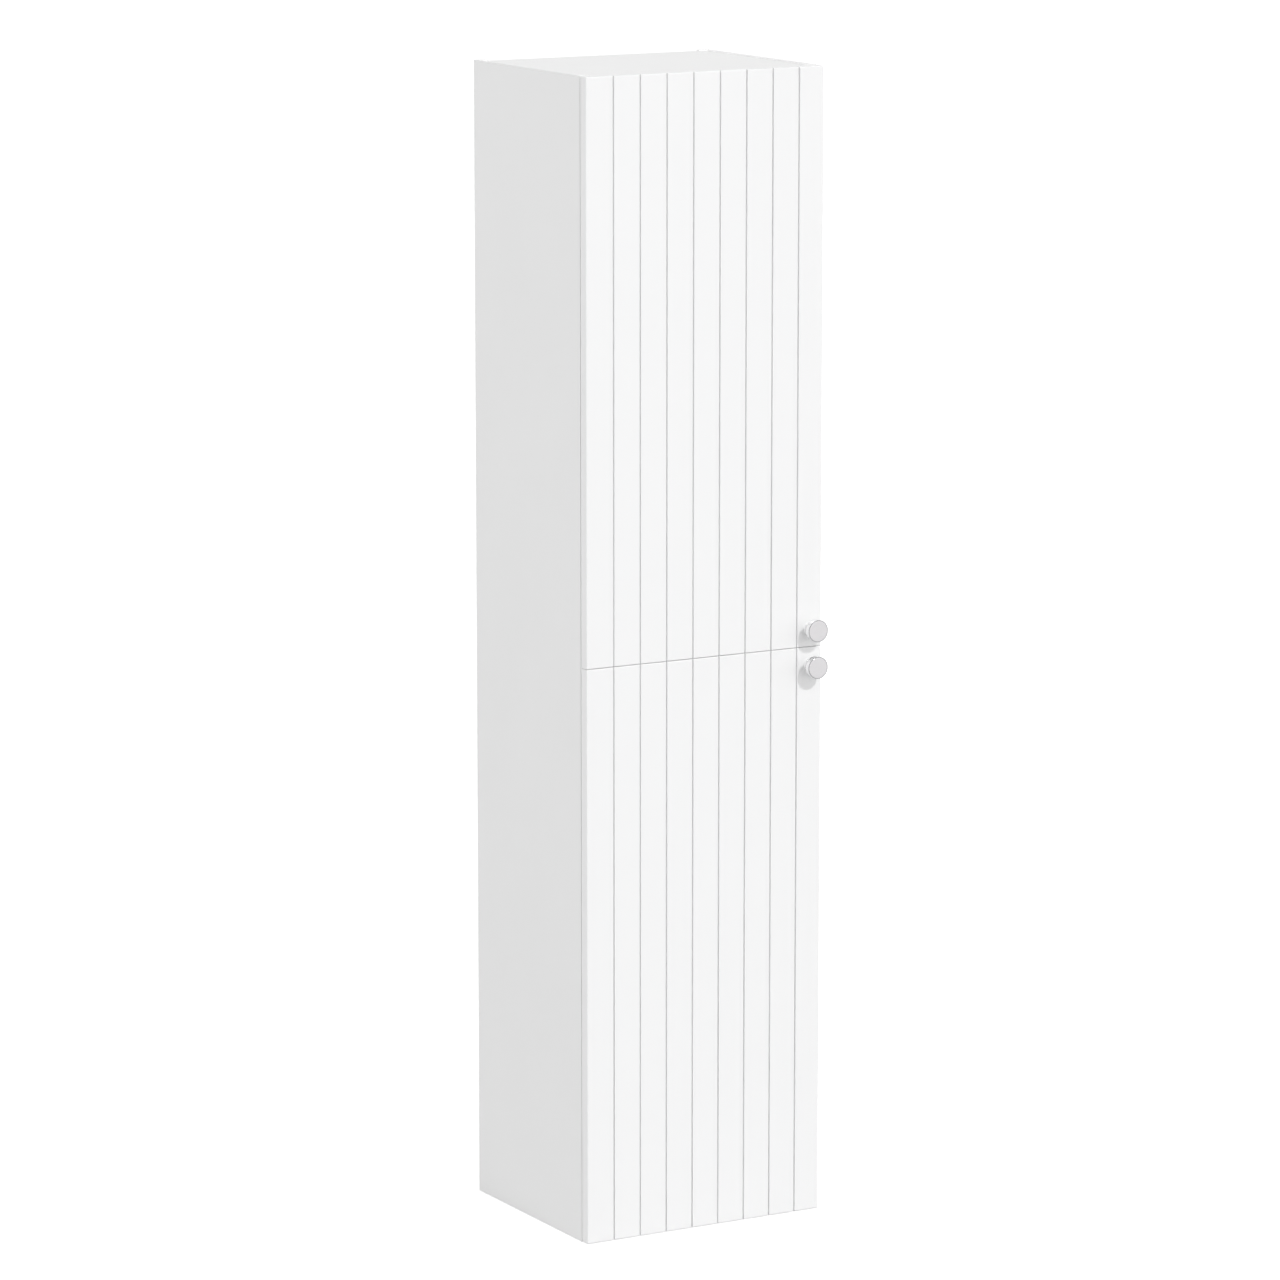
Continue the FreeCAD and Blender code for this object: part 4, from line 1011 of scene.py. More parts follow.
@dataclass(frozen=True)
class CamDrums(Repeat):
    """Cam locks; Z runs from the face that the screwdriver turns into the board."""

    DRUM_STEPS = 48
    ARROW_SHARE = 0.17
    ARROW_PLACE = 0.74
    ARROW_SINK = 0.5

    radius: float = 7.3 * MM
    depth: float = 12 * MM
    rim: float = 0.4 * MM
    drive_length: float = 6.5 * MM
    drive_width: float = 1.3 * MM
    drive_depth: float = 3 * MM

    def fitting(self, nodes: ShapeWriter, size: dict[str, Socket]) -> Socket:
        """A drum with a chamfered rim, a crossed drive and an arrow for its start.

        Args:
            nodes: The writer of the tree.
            size: The lock's named sizes.

        Returns:
            The lock.
        """
        radius, depth, rim = size["radius"], size["depth"], size["rim"]
        chamfer = nodes.cone(self.DRUM_STEPS, nodes.math("SUBTRACT", radius, rim), radius, rim)
        drum = nodes.rod(self.DRUM_STEPS, radius, nodes.math("SUBTRACT", depth, rim))
        drum = nodes.raised(drum, nodes.math("MULTIPLY", nodes.math("ADD", depth, rim), 0.5))
        whole = nodes.boolean("UNION", [chamfer, drum])
        arrow = nodes.rod(3, nodes.math("MULTIPLY", radius, self.ARROW_SHARE),
                          nodes.math("MULTIPLY", size["drive_depth"], self.ARROW_SINK))
        arrow = nodes.moved(arrow, nodes.math("MULTIPLY", radius, self.ARROW_PLACE), 0.0, 0.0)
        return nodes.boolean("DIFFERENCE", [*nodes.crossed_bars(size), arrow], whole)


@dataclass(frozen=True)
class Dowels(Repeat):
    """Fluted pegs along Z with chamfered ends."""

    AROUND_STEPS = 72
    ALONG_STEPS = 12
    TAPER = 0.8

    radius: float = 4 * MM
    length: float = 30 * MM
    flutes: int = 18
    flute_depth: float = 0.12 * MM
    chamfer: float = 2.6 * MM

    def fitting(self, nodes: ShapeWriter, size: dict[str, Socket]) -> Socket:
        """A rod whose radius ripples round it and shrinks at both ends.

        Args:
            nodes: The writer of the tree.
            size: The peg's named sizes.

        Returns:
            The peg.
        """
        x, y, z = nodes.position()
        turn = nodes.math("MULTIPLY", nodes.math("ARCTAN2", y, x), size["flutes"])
        ripple = nodes.math("MULTIPLY", nodes.math("COSINE", turn), size["flute_depth"])
        half = nodes.math("MULTIPLY", size["length"], 0.5)
        past = nodes.math("SUBTRACT", nodes.math("ABSOLUTE", z), nodes.math(
            "SUBTRACT", half, size["chamfer"]))
        taper = nodes.math("MULTIPLY", nodes.math("MAXIMUM", past, 0.0), self.TAPER)
        sink = nodes.math("ADD", nodes.math("ADD", ripple, size["flute_depth"]), taper)
        ratio = nodes.math("SUBTRACT", 1.0, nodes.math("DIVIDE", sink, size["radius"]))
        place = nodes.triple(nodes.math("MULTIPLY", x, ratio), nodes.math("MULTIPLY", y, ratio), z)
        rod = nodes.rod(self.AROUND_STEPS, size["radius"], size["length"], self.ALONG_STEPS)
        return nodes.raised(nodes.reshaped(rod, place), half)


@dataclass(frozen=True)
class Bumpers(Repeat):
    """Soft domes that stick to the back of a door; Z points away from it."""

    AROUND_STEPS = 36
    DOME_STEPS = 20

    radius: float = 4 * MM
    thickness: float = 1.2 * MM

    def fitting(self, nodes: ShapeWriter, size: dict[str, Socket]) -> Socket:
        """A ball pressed into a low dome with a flat base.

        Args:
            nodes: The writer of the tree.
            size: The bumper's named sizes.

        Returns:
            The bumper.
        """
        ball = nodes.add("GeometryNodeMeshUVSphere", {
            "Segments": self.AROUND_STEPS, "Rings": self.DOME_STEPS,
            "Radius": size["radius"]}).outputs[0]
        x, y, z = nodes.position()
        share = nodes.math("DIVIDE", size["thickness"], size["radius"])
        height = nodes.math("MULTIPLY", nodes.math("MAXIMUM", z, 0.0), share)
        return nodes.reshaped(ball, nodes.triple(x, y, height))


def outward(low: Vector, high: Vector) -> Vector:
    """Find the way a screw or dowel points.

    Args:
        low: The lowest corner of its box.
        high: The highest corner of its box.

    Returns:
        Along its length: sideways ones outwards, those from front to rear to the front, and
        upright ones up.
    """
    spans = [high[axis] - low[axis] for axis in range(3)]
    axis = spans.index(max(spans))
    middle = (low + high) / 2
    sign = {0: math.copysign(1, middle.x), 1: -1.0, 2: 1.0}[axis]
    return Vector(sign if i == axis else 0.0 for i in range(3))


def head_spots(node: str, aim: Vector | None = None) -> list[Spot]:
    """A spot at the start of each of a node's solids.

    Args:
        node: The CAD node.
        aim: The way from the spot into the solid, or None to find it.

    Returns:
        The spots.
    """
    spots = []
    for low, high in solids_of(node):
        way = aim or outward(low, high)
        reach = abs((high - low).dot(way)) / 2
        spots.append(Spot((low + high) / 2 - way * reach, way))
    return spots


def span_along(node: str, aim: Vector) -> float:
    """How long a node's first solid is along a direction."""
    low, high = solids_of(node)[0]
    return abs((high - low).dot(aim))


@dataclass(frozen=True)
class ScrewKind:
    """What a screw holds sets its head, its shank and its drive."""

    head_radius: float
    head_height: float
    under_radius: float
    shank_radius: float
    drive_reach: float = 1.15
    drive_sink: float = 1.3

    def build(self, node: str, body: str) -> None:
        """Make the screws of one node and put them in its place.

        Args:
            node: The CAD node.
            body: The CAD body that they ride on.
        """
        spots = head_spots(node)
        screws = Screws(
            PLATED, self.head_radius, self.head_height, self.under_radius, self.shank_radius,
            length=span_along(node, spots[0].aim), drive_length=self.head_radius * self.drive_reach,
            drive_depth=self.head_height * self.drive_sink)
        screws.build(node, node + "_set", body, spots)


BOARD_SCREW = ScrewKind(head_radius=3.8 * MM, head_height=1.8 * MM, under_radius=1.9 * MM,
                        shank_radius=1.9 * MM)
CUP_SCREW = ScrewKind(head_radius=3.8 * MM, head_height=0.8 * MM, under_radius=1.9 * MM,
                      shank_radius=1.9 * MM)
HANGER_SCREW = ScrewKind(head_radius=3.8 * MM, head_height=1.6 * MM, under_radius=3.8 * MM,
                         shank_radius=1.9 * MM)
ADJUSTING_SCREW = ScrewKind(head_radius=3.6 * MM, head_height=1.6 * MM, under_radius=3.6 * MM,
                            shank_radius=1.8 * MM, drive_reach=1.35)
KNOB_SCREW = ScrewKind(head_radius=4 * MM, head_height=2.8 * MM, under_radius=4 * MM,
                       shank_radius=2 * MM, drive_reach=1.2)


# ---------------------------------------------------------------- boards
class Way(Enum):
    """The six ways that a board's edge can face."""

    LEFT = (-1, 0, 0)
    RIGHT = (1, 0, 0)
    FRONT = (0, -1, 0)
    REAR = (0, 1, 0)
    DOWN = (0, 0, -1)
    UP = (0, 0, 1)

    @property
    def vector(self) -> Vector:
        """The way as a vector."""
        return Vector(self.value)


class BoardSkin(IntEnum):
    """The finishes of a board, in the order of its materials."""

    FACE = 0
    BAND = 1
    CORE = 2
    GLUE = 3
    REAR = 4


@dataclass
class Board:
    """A faced chipboard panel: broad faces, banded edges and a raw core elsewhere."""

    node: str
    broad: Way
    banded: tuple[Way, ...]
    face: Finish = BOARD
    rear_face: Finish | None = None
    band: Finish = BAND
    core: Finish = CORE
    band_thick: float = 1.0 * MM
    glue_thick: float = 0.09 * MM
    edge_round: float = 0.45 * MM

    def build(self) -> None:
        """Make the board from its CAD node's shape."""
        low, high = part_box(self.node)
        shape = merged_copy(self.node)
        limits = {}
        for way in self.banded:
            corner = high if sum(way.value) > 0 else low
            limits[way] = corner.dot(way.vector)
            for depth in (self.band_thick, self.band_thick + self.glue_thick):
                bmesh.ops.bisect_plane(
                    shape, geom=[*shape.verts, *shape.edges, *shape.faces],
                    plane_co=way.vector * (limits[way] - depth), plane_no=way.vector)
        for face in shape.faces:
            face.material_index = self.skin_of(face, limits)
        name = self.node + "_board"
        made = in_scene(name, to_mesh(name, shape))
        for finish in (self.face, self.band, self.core, GLUE_LINE, self.rear_face or self.face):
            made.data.materials.append(finish.material())
        soften(made, self.edge_round)
        settle(made, CARCASS, self.node)

    def skin_of(self, face: bmesh.types.BMFace, limits: dict[Way, float]) -> BoardSkin:
        """Find which of the board's finishes a face has.

        Args:
            face: A face of the board.
            limits: How far the board reaches each banded way.

        Returns:
            The finish.
        """
        middle = face.calc_center_median()
        for way, limit in limits.items():
            depth = limit - middle.dot(way.vector)
            if depth < self.band_thick and face.normal.dot(way.vector) > NOT_BACK:
                return BoardSkin.BAND
            if self.band_thick <= depth < self.band_thick + self.glue_thick:
                return BoardSkin.GLUE
        share = face.normal.dot(self.broad.vector)
        if abs(share) < LOOKS_ALONG:
            return BoardSkin.CORE
        return BoardSkin.FACE if share > 0 else BoardSkin.REAR


@dataclass
class Carcass:
    """The boards between and round the compartments, with their fixings."""

    cross_boards: tuple[str, ...] = ("top_panel", "bottom_panel", "middle_shelf")
    shelves: tuple[str, ...] = tuple(
        f"{compartment}_compartment_{level}_shelf"
        for compartment in ("upper", "lower") for level in ("high", "low"))
    side_band: float = 2 * MM
    back_round: float = 0.2 * MM
    cam_dowel_round: float = 0.3 * MM
    block_round: float = 0.6 * MM
    flute_crease: float = 60.0

    def build(self) -> None:
        """Make every board and fixing of the carcass."""
        ends = (Way.FRONT, Way.REAR, Way.UP, Way.DOWN)
        for node, outside in (("left_side_panel", Way.LEFT), ("right_side_panel", Way.RIGHT)):
            Board(node, outside, ends, band_thick=self.side_band).build()
        for node in (*self.cross_boards, *self.shelves):
            Board(node, Way.UP, (Way.FRONT,)).build()
        Board("lower_rear_rail", Way.REAR, (Way.UP,)).build()
        Board("back_panel", Way.FRONT, (), face=BACK_FRONT, rear_face=BACK_REAR,
              core=BACK_REAR, edge_round=self.back_round).build()
        self.fixings()

    def support_spots(self) -> list[Spot]:
        """Find where the shelf supports enter the side panels.

        Returns:
            A spot on the panel's inner face for each support, aimed into its hole.
        """
        inner_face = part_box("left_side_panel")[1].x
        spots = []
        for low, high in solids_of("shelf_supports"):
            way = Way.LEFT if low.x < 0 else Way.RIGHT
            middle = (low + high) / 2
            spots.append(Spot(Vector((-way.value[0] * inner_face, middle.y, middle.z)), way.vector))
        return spots

    def fixings(self) -> None:
        """Make the supports, cams, dowels and corner blocks."""
        ShelfPins(NICKEL).build(
            "shelf_supports", "shelf_support_set", CARCASS, self.support_spots())
        CamDrums(DIE_CAST).build(
            "cam_locks", "cam_lock_set", CARCASS, head_spots("cam_locks", Way.UP.vector))
        Dowels(BEECH).build("wooden_dowels", "wooden_dowel_set", CARCASS,
                            head_spots("wooden_dowels"), self.flute_crease)
        Softened("cam_dowels", CARCASS, DIE_CAST, self.cam_dowel_round).build()
        Softened("corner_blocks", CARCASS, MOULDED, self.block_round).build()
        BOARD_SCREW.build("corner_block_screws", CARCASS)


@dataclass
class Softened:
    """A moulded or pressed piece: its CAD shape with rounded edges."""

    node: str
    body: str
    finish: Finish
    width: float

    def build(self) -> None:
        """Make the piece in its node's place."""
        name = self.node + "_piece"
        mesh = to_mesh(name, merged_copy(self.node))
        mesh.materials.append(self.finish.material())
        made = in_scene(name, mesh)
        soften(made, self.width)
        settle(made, self.body, self.node)


# ---------------------------------------------------------------- doors
class Side(Enum):
    """The two doors."""

    UPPER = "upper"
    LOWER = "lower"

    @property
    def door(self) -> str:
        """The door's node and body."""
        return self.value + "_door"


class DoorSkin(IntEnum):
    """The finishes of a door, in the order of its materials."""

    FRONT = 0
    BACK = 1
    BORE = 2
    # GROOVE is the darker foil in the grooves, painted shade.
    GROOVE = 3


@dataclass
class SlattedDoor:
    """A wrapped fibreboard door: grooves in front, hinge and knob bores behind."""

    side: Side
    groove_count: int = 8
    groove_pitch: float = 39.1 * MM
    first_groove: float = 39.35 * MM
    groove_width: float = 2.4 * MM
    groove_depth: float = 3.0 * MM
    shoulder: float = 0.2 * MM
    root: float = 0.3 * MM
    groove_sink: float = 0.4 * MM
    split_reach: float = 0.75 * MM
    edge_radius: float = 1.5 * MM
    back_chamfer: float = 0.3 * MM
    arc_steps: int = 6
    cup_radius: float = 17.5 * MM
    cup_depth: float = 11.5 * MM
    cup_from_edge: float = 21.5 * MM
    hinge_inset: float = 100 * MM
    screw_radius: float = 2.1 * MM
    screw_depth: float = 10.4 * MM
    screw_from_cup: float = 9.5 * MM
    screw_half: float = 22.5 * MM
    knob_sink_radius: float = 4.2 * MM
    knob_sink_depth: float = 3 * MM
    knob_bore_radius: float = 2.2 * MM
    mouth_ease: float = 0.25 * MM
    cup_steps: int = 96
    screw_steps: int = 24
    knob_steps: int = 32
    crease: float = 28.0

    def section(self, width: float) -> list[tuple[float, float]]:
        """The front's outline from left to right: distance along it and depth.

        Args:
            width: The door's width.

        Returns:
            The outline's points.
        """
        edge, shoulder, root = self.edge_radius, self.shoulder, self.root
        half, deep = self.groove_width / 2, self.groove_depth
        line = arc((edge, edge), edge, 180, 270, self.arc_steps)
        for index in range(self.groove_count):
            middle = self.first_groove + index * self.groove_pitch
            line += arc((middle - half - shoulder, shoulder), shoulder, -90, 0, self.arc_steps)
            line += arc((middle - half + root, deep - root), root, 180, 90, self.arc_steps // 2)
            line += arc((middle + half - root, deep - root), root, 90, 0, self.arc_steps // 2)
            line += arc((middle + half + shoulder, shoulder), shoulder, 180, 270, self.arc_steps)
        return line + arc((width - edge, edge), edge, -90, 0, self.arc_steps)

    def rows(self, tall: float) -> list[tuple[float, float]]:
        """Place the mesh's rows up the door, with both ends rounded.

        Args:
            tall: The door's height.

        Returns:
            Each row's height and how far the rounding steps back there.
        """
        low = [(self.edge_radius + z, self.edge_radius + y) for z, y in
               arc((0, 0), self.edge_radius, 180, 270, self.arc_steps)]
        return low + [(tall - z, y) for z, y in reversed(low)]

    def slab(self) -> bmesh.types.BMesh:
        """Make the closed door without its bores.

        Returns:
            The working shape, each face with its finish.
        """
        low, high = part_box(self.side.door)
        if self.side is Side.UPPER:
            low.z -= self.split_reach
        else:
            high.z += self.split_reach
        width, thick, tall = high - low
        line, rows = self.section(width), self.rows(tall)
        shape = bmesh.new()

        def corner(x: float, y: float, z: float) -> bmesh.types.BMVert:
            """A new point, measured from the door's lower front left corner."""
            return shape.verts.new((low.x + x, low.y + y, low.z + z))

        grid = [[corner(x, max(y, back), z) for x, y in line] for z, back in rows]
        for under, over in zip(grid, grid[1:]):
            for a, b, c, d in zip(under, under[1:], over[1:], over):
                shape.faces.new((a, b, c, d))
        cut = self.back_chamfer
        ring = [[corner(x, y, z) for x, z in ((inset, inset), (width - inset, inset),
                                              (width - inset, tall - inset), (inset, tall - inset))]
                for inset, y in ((0.0, thick - cut), (cut, thick))]
        outer, inner = ring
        shape.faces.new(list(reversed(grid[0])) + [outer[0], outer[1]])
        shape.faces.new(grid[-1] + [outer[2], outer[3]])
        shape.faces.new([row[0] for row in grid] + [outer[3], outer[0]])
        shape.faces.new([row[-1] for row in reversed(grid)] + [outer[1], outer[2]])
        for index in range(4):
            after = (index + 1) % 4
            shape.faces.new((outer[index], outer[after], inner[after], inner[index]))
        shape.faces.new(inner)
        bmesh.ops.remove_doubles(shape, verts=shape.verts, dist=MERGE)
        bmesh.ops.dissolve_degenerate(shape, dist=MERGE, edges=shape.edges)
        bmesh.ops.recalc_face_normals(shape, faces=shape.faces)
        for face in shape.faces:
            face.material_index = self.skin_of(face, low, width)
        return shape

    def skin_of(self, face: bmesh.types.BMFace, low: Vector, width: float) -> DoorSkin:
        """Find which of the door's finishes a face has.

        Args:
            face: A face of the door.
            low: The door's lower front left corner.
            width: The door's width.

        Returns:
            The finish.
        """
        if face.normal.y > LOOKS_ALONG:
            return DoorSkin.BACK
        middle = face.calc_center_median()
        sunk = self.groove_sink < middle.y - low.y < self.groove_depth
        between_edges = self.edge_radius < middle.x - low.x < width - self.edge_radius
        # Faces sunk in a groove get the darker foil: painted shade in the grooves.
        if len(face.verts) == 4 and sunk and between_edges:
            return DoorSkin.GROOVE
        return DoorSkin.FRONT

    def bores(self) -> bmesh.types.BMesh:
        """Make the tools that cut the hinge cups, the screw holes and the knob's hole.

        Returns:
            The working shape of all the tools.
        """
        low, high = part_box(self.side.door)
        knob_low, knob_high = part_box(self.side.value + "_knob")
        knob = (knob_low + knob_high) / 2
        cup_x = low.x + self.cup_from_edge
        heights = (low.z + self.hinge_inset, high.z - self.hinge_inset)
        tools = bmesh.new()
        for z in heights:
            self.drill(tools, cup_x, z, [(self.cup_radius, self.cup_depth)], self.cup_steps)
            for offset in (-self.screw_half, self.screw_half):
                self.drill(tools, cup_x + self.screw_from_cup, z + offset,
                           [(self.screw_radius, self.screw_depth)], self.screw_steps)
        through = high.y - low.y + self.edge_radius
        self.drill(tools, knob.x, knob.z, [(self.knob_sink_radius, self.knob_sink_depth),
                                           (self.knob_bore_radius, through)], self.knob_steps)
        return tools

    def drill(self, tools: bmesh.types.BMesh, x: float, z: float,
              steps: list[tuple[float, float]], segments: int) -> None:
        """Add one round tool, sunk from the door's back face, with an eased mouth.

        Args:
            tools: Where the tool is added.
            x: Where the tool's axis is, across the door.
            z: Where the tool's axis is, up the door.
            steps: Radius and depth of each step, the widest first.
            segments: How many steps go round.
        """
        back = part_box(self.side.door)[1].y
        ease, first = self.mouth_ease, steps[0][0]
        profile = [(0.0, -2 * ease), (first + 3 * ease, -2 * ease), (first, ease)]
        for (radius, depth), following in zip(steps, [*steps[1:], (0.0, 0.0)]):
            profile += [(radius, depth), (following[0], depth)]
        place = Matrix.Translation((x, back, z)) @ Matrix.Rotation(math.pi / 2, 4, "X")
        tool = lathe(profile, segments, place)
        mesh = bpy.data.meshes.new("tool")
        tool.to_mesh(mesh)
        tool.free()
        tools.from_mesh(mesh)
        bpy.data.meshes.remove(mesh)

    def build(self) -> None:
        """Make the door and put it in its node's place."""
        name = self.side.value + "_slatted_door"
        made = in_scene(name, to_mesh(name, self.slab()))
        for finish in (FOIL, DOOR_BACK, FIBREBOARD, GROOVE_FOIL_PAINTED_SHADE):
            made.data.materials.append(finish.material())
        tools = in_scene(name + "_tools", to_mesh(name + "_tools", self.bores()))
        tools.data.materials.append(FIBREBOARD.material())
        cut = made.modifiers.new("bores", "BOOLEAN")
        cut.object = tools
        cut.operation = "DIFFERENCE"
        cut.solver = "EXACT"
        cut.material_mode = "TRANSFER"
        ready = made.evaluated_get(bpy.context.evaluated_depsgraph_get())
        mesh = bpy.data.meshes.new_from_object(ready)
        made.modifiers.clear()
        made.data = shaded(mesh, self.crease)
        bpy.data.objects.remove(tools)
        even_shading(made)
        settle(made, self.side.door, self.side.door)


class KnobSkin(IntEnum):
    """The finishes of a knob, in the order of its materials."""

    # POLISHED is the lightened chrome, a painted bright reflection; RIM is the darkened chrome, a
    # painted dark reflection.
    POLISHED = 0
    SATIN = 1
    RIM = 2


@dataclass
class Knob:
    """A turned disc knob: satin face, neck and side band in lightened chrome as a painted bright
    reflection, rim rounds in darkened chrome as a painted dark reflection.
    """

    side: Side
    rim_round: float = 0.7 * MM
    ring: float = 0.2 * MM
    groove: float = 0.14 * MM
    dish: float = 0.1 * MM
    foot_radius: float = 8 * MM
    foot_height: float = 2.2 * MM
    neck_radius: float = 6 * MM
    head_height: float = 9 * MM
    back_band: float = 1.3 * MM
    cove: float = 1.6 * MM
    around: int = 128
    foot_steps: int = 6
    arc_steps: int = 8
    dish_steps: int = 10
    crease: float = 40.0

    def profile(self, radius: float, reach: float) -> tuple[list[tuple[float, float]], int]:
        """The turned outline from the foot to the middle of the face.

        Args:
            radius: The head's radius.
            reach: How far the face stands off the door.

        Returns:
            The outline and the index of its first point on the satin face.
        """
        rim, foot, cove, steps = self.rim_round, self.foot_height, self.cove, self.arc_steps
        back = reach - self.head_height
        line = [(0.0, 0.0), (self.foot_radius, 0.0)]
        line += arc((self.foot_radius - rim, foot - rim), rim, 0, 90, self.foot_steps)
        line += arc((self.neck_radius + cove, foot + cove), cove, -90, -180, steps)[1:]
        line += arc((self.neck_radius + cove, back - cove), cove, 180, 90, steps)
        line += arc((radius - rim, back + rim), rim, -90, 0, steps)
        line += [(radius, back + self.back_band)]
        line += arc((radius - rim, reach - rim), rim, 0, 90, steps)
        inner = radius - rim - self.ring
        line += [(inner, reach), (inner - self.groove, reach - self.groove)]
        start = len(line)
        face, drop = inner - 2 * self.groove, self.groove / 3
        line += [(face, reach - drop)]
        for step in range(1, self.dish_steps + 1):
            share = step / self.dish_steps
            sink = drop + self.dish * (1 - (1 - share) ** 2)
            line.append((face * (1 - share), reach - sink))
        return line, start

    def build(self) -> None:
        """Make the knob in its node's place."""
        node = self.side.value + "_knob"
        low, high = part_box(node)
        middle = (low + high) / 2
        radius, reach = (high.x - low.x) / 2, high.y - low.y
        line, start = self.profile(radius, reach)
        place = Matrix.Translation((middle.x, high.y, middle.z)) @ Matrix.Rotation(math.pi / 2, 4, "X")
        shape = lathe(line, self.around, place)
        face_radius = line[start][0]
        back_edge = reach - self.head_height + self.back_band
        for face in shape.faces:
            spot = face.calc_center_median()
            off_axis = math.hypot(spot.x - middle.x, spot.z - middle.z)
            height = high.y - spot.y
            if height > reach - 2 * self.dish - self.groove and off_axis < face_radius:
                face.material_index = KnobSkin.SATIN
            # The rim rounds at front and back get the darkened chrome: a painted dark reflection.
            elif off_axis > face_radius and not back_edge < height < reach - self.rim_round:
                face.material_index = KnobSkin.RIM
        satin = Turned(f"{node}_satin_face", "knob_chrome", (0.735, 0.722, 0.735), drift=0.01,
                       drift_scale=60, roughness=0.42, roughness_spread=0.03,
                       grain_depth=0.0015 * MM, metallic=1.0, middle=tuple(middle))
        name = node + "_turned"
        made = in_scene(name, to_mesh(name, shape, self.crease))
        for finish in (CHROME_PAINTED_BRIGHT, satin, RIM_PAINTED_DARK_REFLECTION):
            made.data.materials.append(finish.material())
        settle(made, self.side.door, node)


@dataclass
class DoorSet:
    """A door with its knob, bumpers and its halves of the hinges."""

    side: Side
    cup_round: float = 0.2 * MM
    link_round: float = 0.15 * MM

    def build(self) -> None:
        """Make everything that swings with the door, and the links that carry it."""
        name, body = self.side.value, self.side.door
        SlattedDoor(self.side).build()
        Knob(self.side).build()
        KNOB_SCREW.build(name + "_knob_screw", body)
        bumpers = body + "_bumpers"
        Bumpers(SILICONE).build(
            bumpers, bumpers + "_set", body, head_spots(bumpers, Way.REAR.vector))
        for end in ("top", "bottom"):
            Softened(f"{body}_{end}_hinge_cup", body, NICKEL, self.cup_round).build()
        Softened(body + "_cup_pins", body, NICKEL, self.link_round).build()
        CUP_SCREW.build(body + "_cup_screws", body)
        for link in ("outer", "inner"):
            Softened(f"{body}_{link}_links", f"{name}_{link}_links", NICKEL, self.link_round).build()


@dataclass
class HingeSeats:
    """The halves of the hinges that stay on the side panel."""

    plate_round: float = 0.25 * MM
    pin_round: float = 0.2 * MM

    def build(self) -> None:
        """Make the arms, plates, pins and screws."""
        for side in Side:
            for end in ("top", "bottom"):
                for part in ("arm", "mounting_plate"):
                    Softened(f"{side.door}_{end}_hinge_{part}", CARCASS, NICKEL,
                             self.plate_round).build()
        Softened("hinge_arm_pins", CARCASS, NICKEL, self.pin_round).build()
        BOARD_SCREW.build("mounting_plate_screws", CARCASS)
        ADJUSTING_SCREW.build("hinge_adjusting_screws", CARCASS)


@dataclass
class WallHanging:
    """The hidden hangers in the top corners and the rail that they hook over."""

    housing_round: float = 0.5 * MM
    sheet_round: float = 0.3 * MM

    def build(self) -> None:
        """Make the housings, hooks, screws and the rail."""
        for end in ("left", "right"):
            Softened(end + "_wall_hanger", CARCASS, MOULDED, self.housing_round).build()
            Softened(end + "_hanger_hook", CARCASS, GALVANISED, self.sheet_round).build()
        Softened("wall_rail", CARCASS, GALVANISED, self.sheet_round).build()
        HANGER_SCREW.build("hanger_screws", CARCASS)


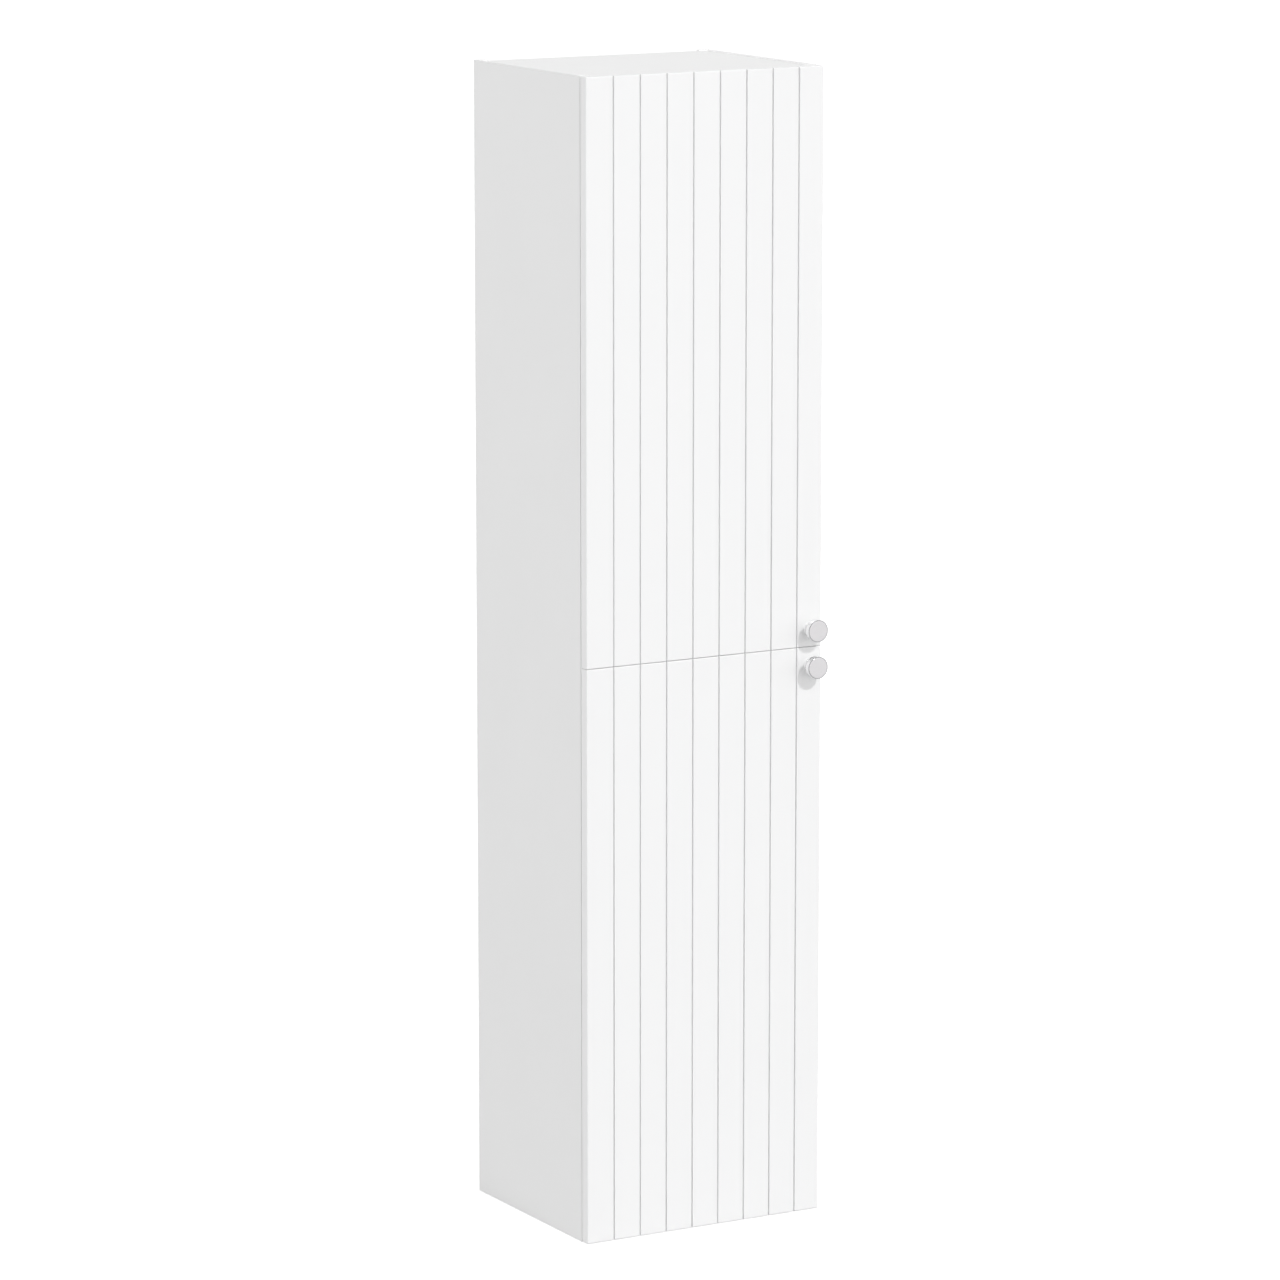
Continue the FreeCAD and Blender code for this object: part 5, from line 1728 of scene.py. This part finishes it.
# ---------------------------------------------------------------- studio
@dataclass
class Studio:
    """The pale floor, the soft light and the camera of the photograph."""

    camera_place: tuple[float, float, float] = (-3.7447, -6.5582, 2.1465)
    yaw: float = 29.604
    pitch: float = 10.380
    focal_px: float = 5845.2
    frame_px: float = 1280.0
    key_side: float = 5.0
    key_height: float = 38.0
    key_strength: float = 1.035
    key_spread: float = 1.5
    zenith: float = 0.23
    horizon: float = 1.545
    left_lift: float = 0.125
    floor_colour: RGB = (0.52, 0.52, 0.52)
    floor_glow: float = 0.74
    floor_glow_in_metal: float = 0.52
    floor_radius: float = 30.0
    floor_steps: int = 96
    view_reach: float = 100.0

    def build(self) -> None:
        """Set the whole stage."""
        bpy.context.scene.view_settings.view_transform = "Standard"
        self.camera()
        self.key()
        self.world()
        self.floor()

    def camera(self) -> None:
        """The camera, at the photograph's angle."""
        lens = bpy.data.cameras.new("view")
        lens.lens = self.focal_px / self.frame_px * lens.sensor_width
        lens.clip_end = self.view_reach
        made = in_scene("view", lens)
        made.location = self.camera_place
        made.rotation_euler = (math.radians(90 - self.pitch), 0, math.radians(-self.yaw))
        bpy.context.scene.camera = made

    def key(self) -> None:
        """The main lamp, in front, high and a little to the right."""
        lamp = bpy.data.lights.new("key", "SUN")
        lamp.energy = self.key_strength
        lamp.angle = math.radians(self.key_spread)
        made = in_scene("key", lamp)
        made.rotation_euler = (math.radians(90 - self.key_height), 0, math.radians(self.key_side))

    def world(self) -> None:
        """A white backdrop for the camera and metal; a soft sky for the light."""
        world = bpy.data.worlds.new("studio")
        bpy.context.scene.world = world
        paint = cleared(world)
        direction = paint.add("ShaderNodeTexCoord").outputs["Generated"]
        parts = paint.add("ShaderNodeSeparateXYZ", {0: direction}).outputs
        level = paint.spread(parts[2], self.horizon, self.zenith, 0, 1)
        level = paint.math("SUBTRACT", level, paint.math("MULTIPLY", parts[0], self.left_lift))
        path = paint.add("ShaderNodeLightPath").outputs
        seen = paint.math("MAXIMUM", path["Is Camera Ray"], path["Is Transmission Ray"])
        seen = paint.math("MAXIMUM", seen, path["Is Glossy Ray"])
        strength = paint.math("ADD", seen, paint.math(
            "MULTIPLY", level, paint.math("SUBTRACT", 1.0, seen)))
        sky = paint.add("ShaderNodeBackground", {"Color": (1, 1, 1, 1), "Strength": strength})
        paint.add("ShaderNodeOutputWorld", {"Surface": sky.outputs[0]})

    def floor(self) -> None:
        """A round floor that looks white and keeps the cabinet's shadow."""
        shape = bmesh.new()
        bmesh.ops.create_circle(shape, cap_ends=True, segments=self.floor_steps,
                                radius=self.floor_radius)
        made = in_scene("studio_floor", to_mesh("studio_floor", shape))
        material = bpy.data.materials.new("studio_floor")
        paint = cleared(material)
        path = paint.add("ShaderNodeLightPath").outputs
        seen = paint.math("MAXIMUM", path["Is Camera Ray"], path["Is Transmission Ray"])
        direct = paint.math("MULTIPLY", seen, self.floor_glow)
        mirrored = paint.math("MULTIPLY", path["Is Glossy Ray"], self.floor_glow_in_metal)
        glow = paint.add("ShaderNodeEmission", {
            "Color": (1, 1, 1, 1), "Strength": paint.math("MAXIMUM", direct, mirrored)})
        matt = paint.add("ShaderNodeBsdfDiffuse", {"Color": (*self.floor_colour, 1)})
        both = paint.add("ShaderNodeAddShader", {0: matt.outputs[0], 1: glow.outputs[0]})
        paint.add("ShaderNodeOutputMaterial", {"Surface": both.outputs[0]})
        made.data.materials.append(material)


def main() -> None:
    """Build the cabinet and its stage."""
    logging.basicConfig(level=logging.INFO, format="%(name)s: %(message)s")
    Studio().build()
    Carcass().build()
    for side in Side:
        DoorSet(side).build()
    HingeSeats().build()
    WallHanging().build()


if __name__ == "__main__":
    main()
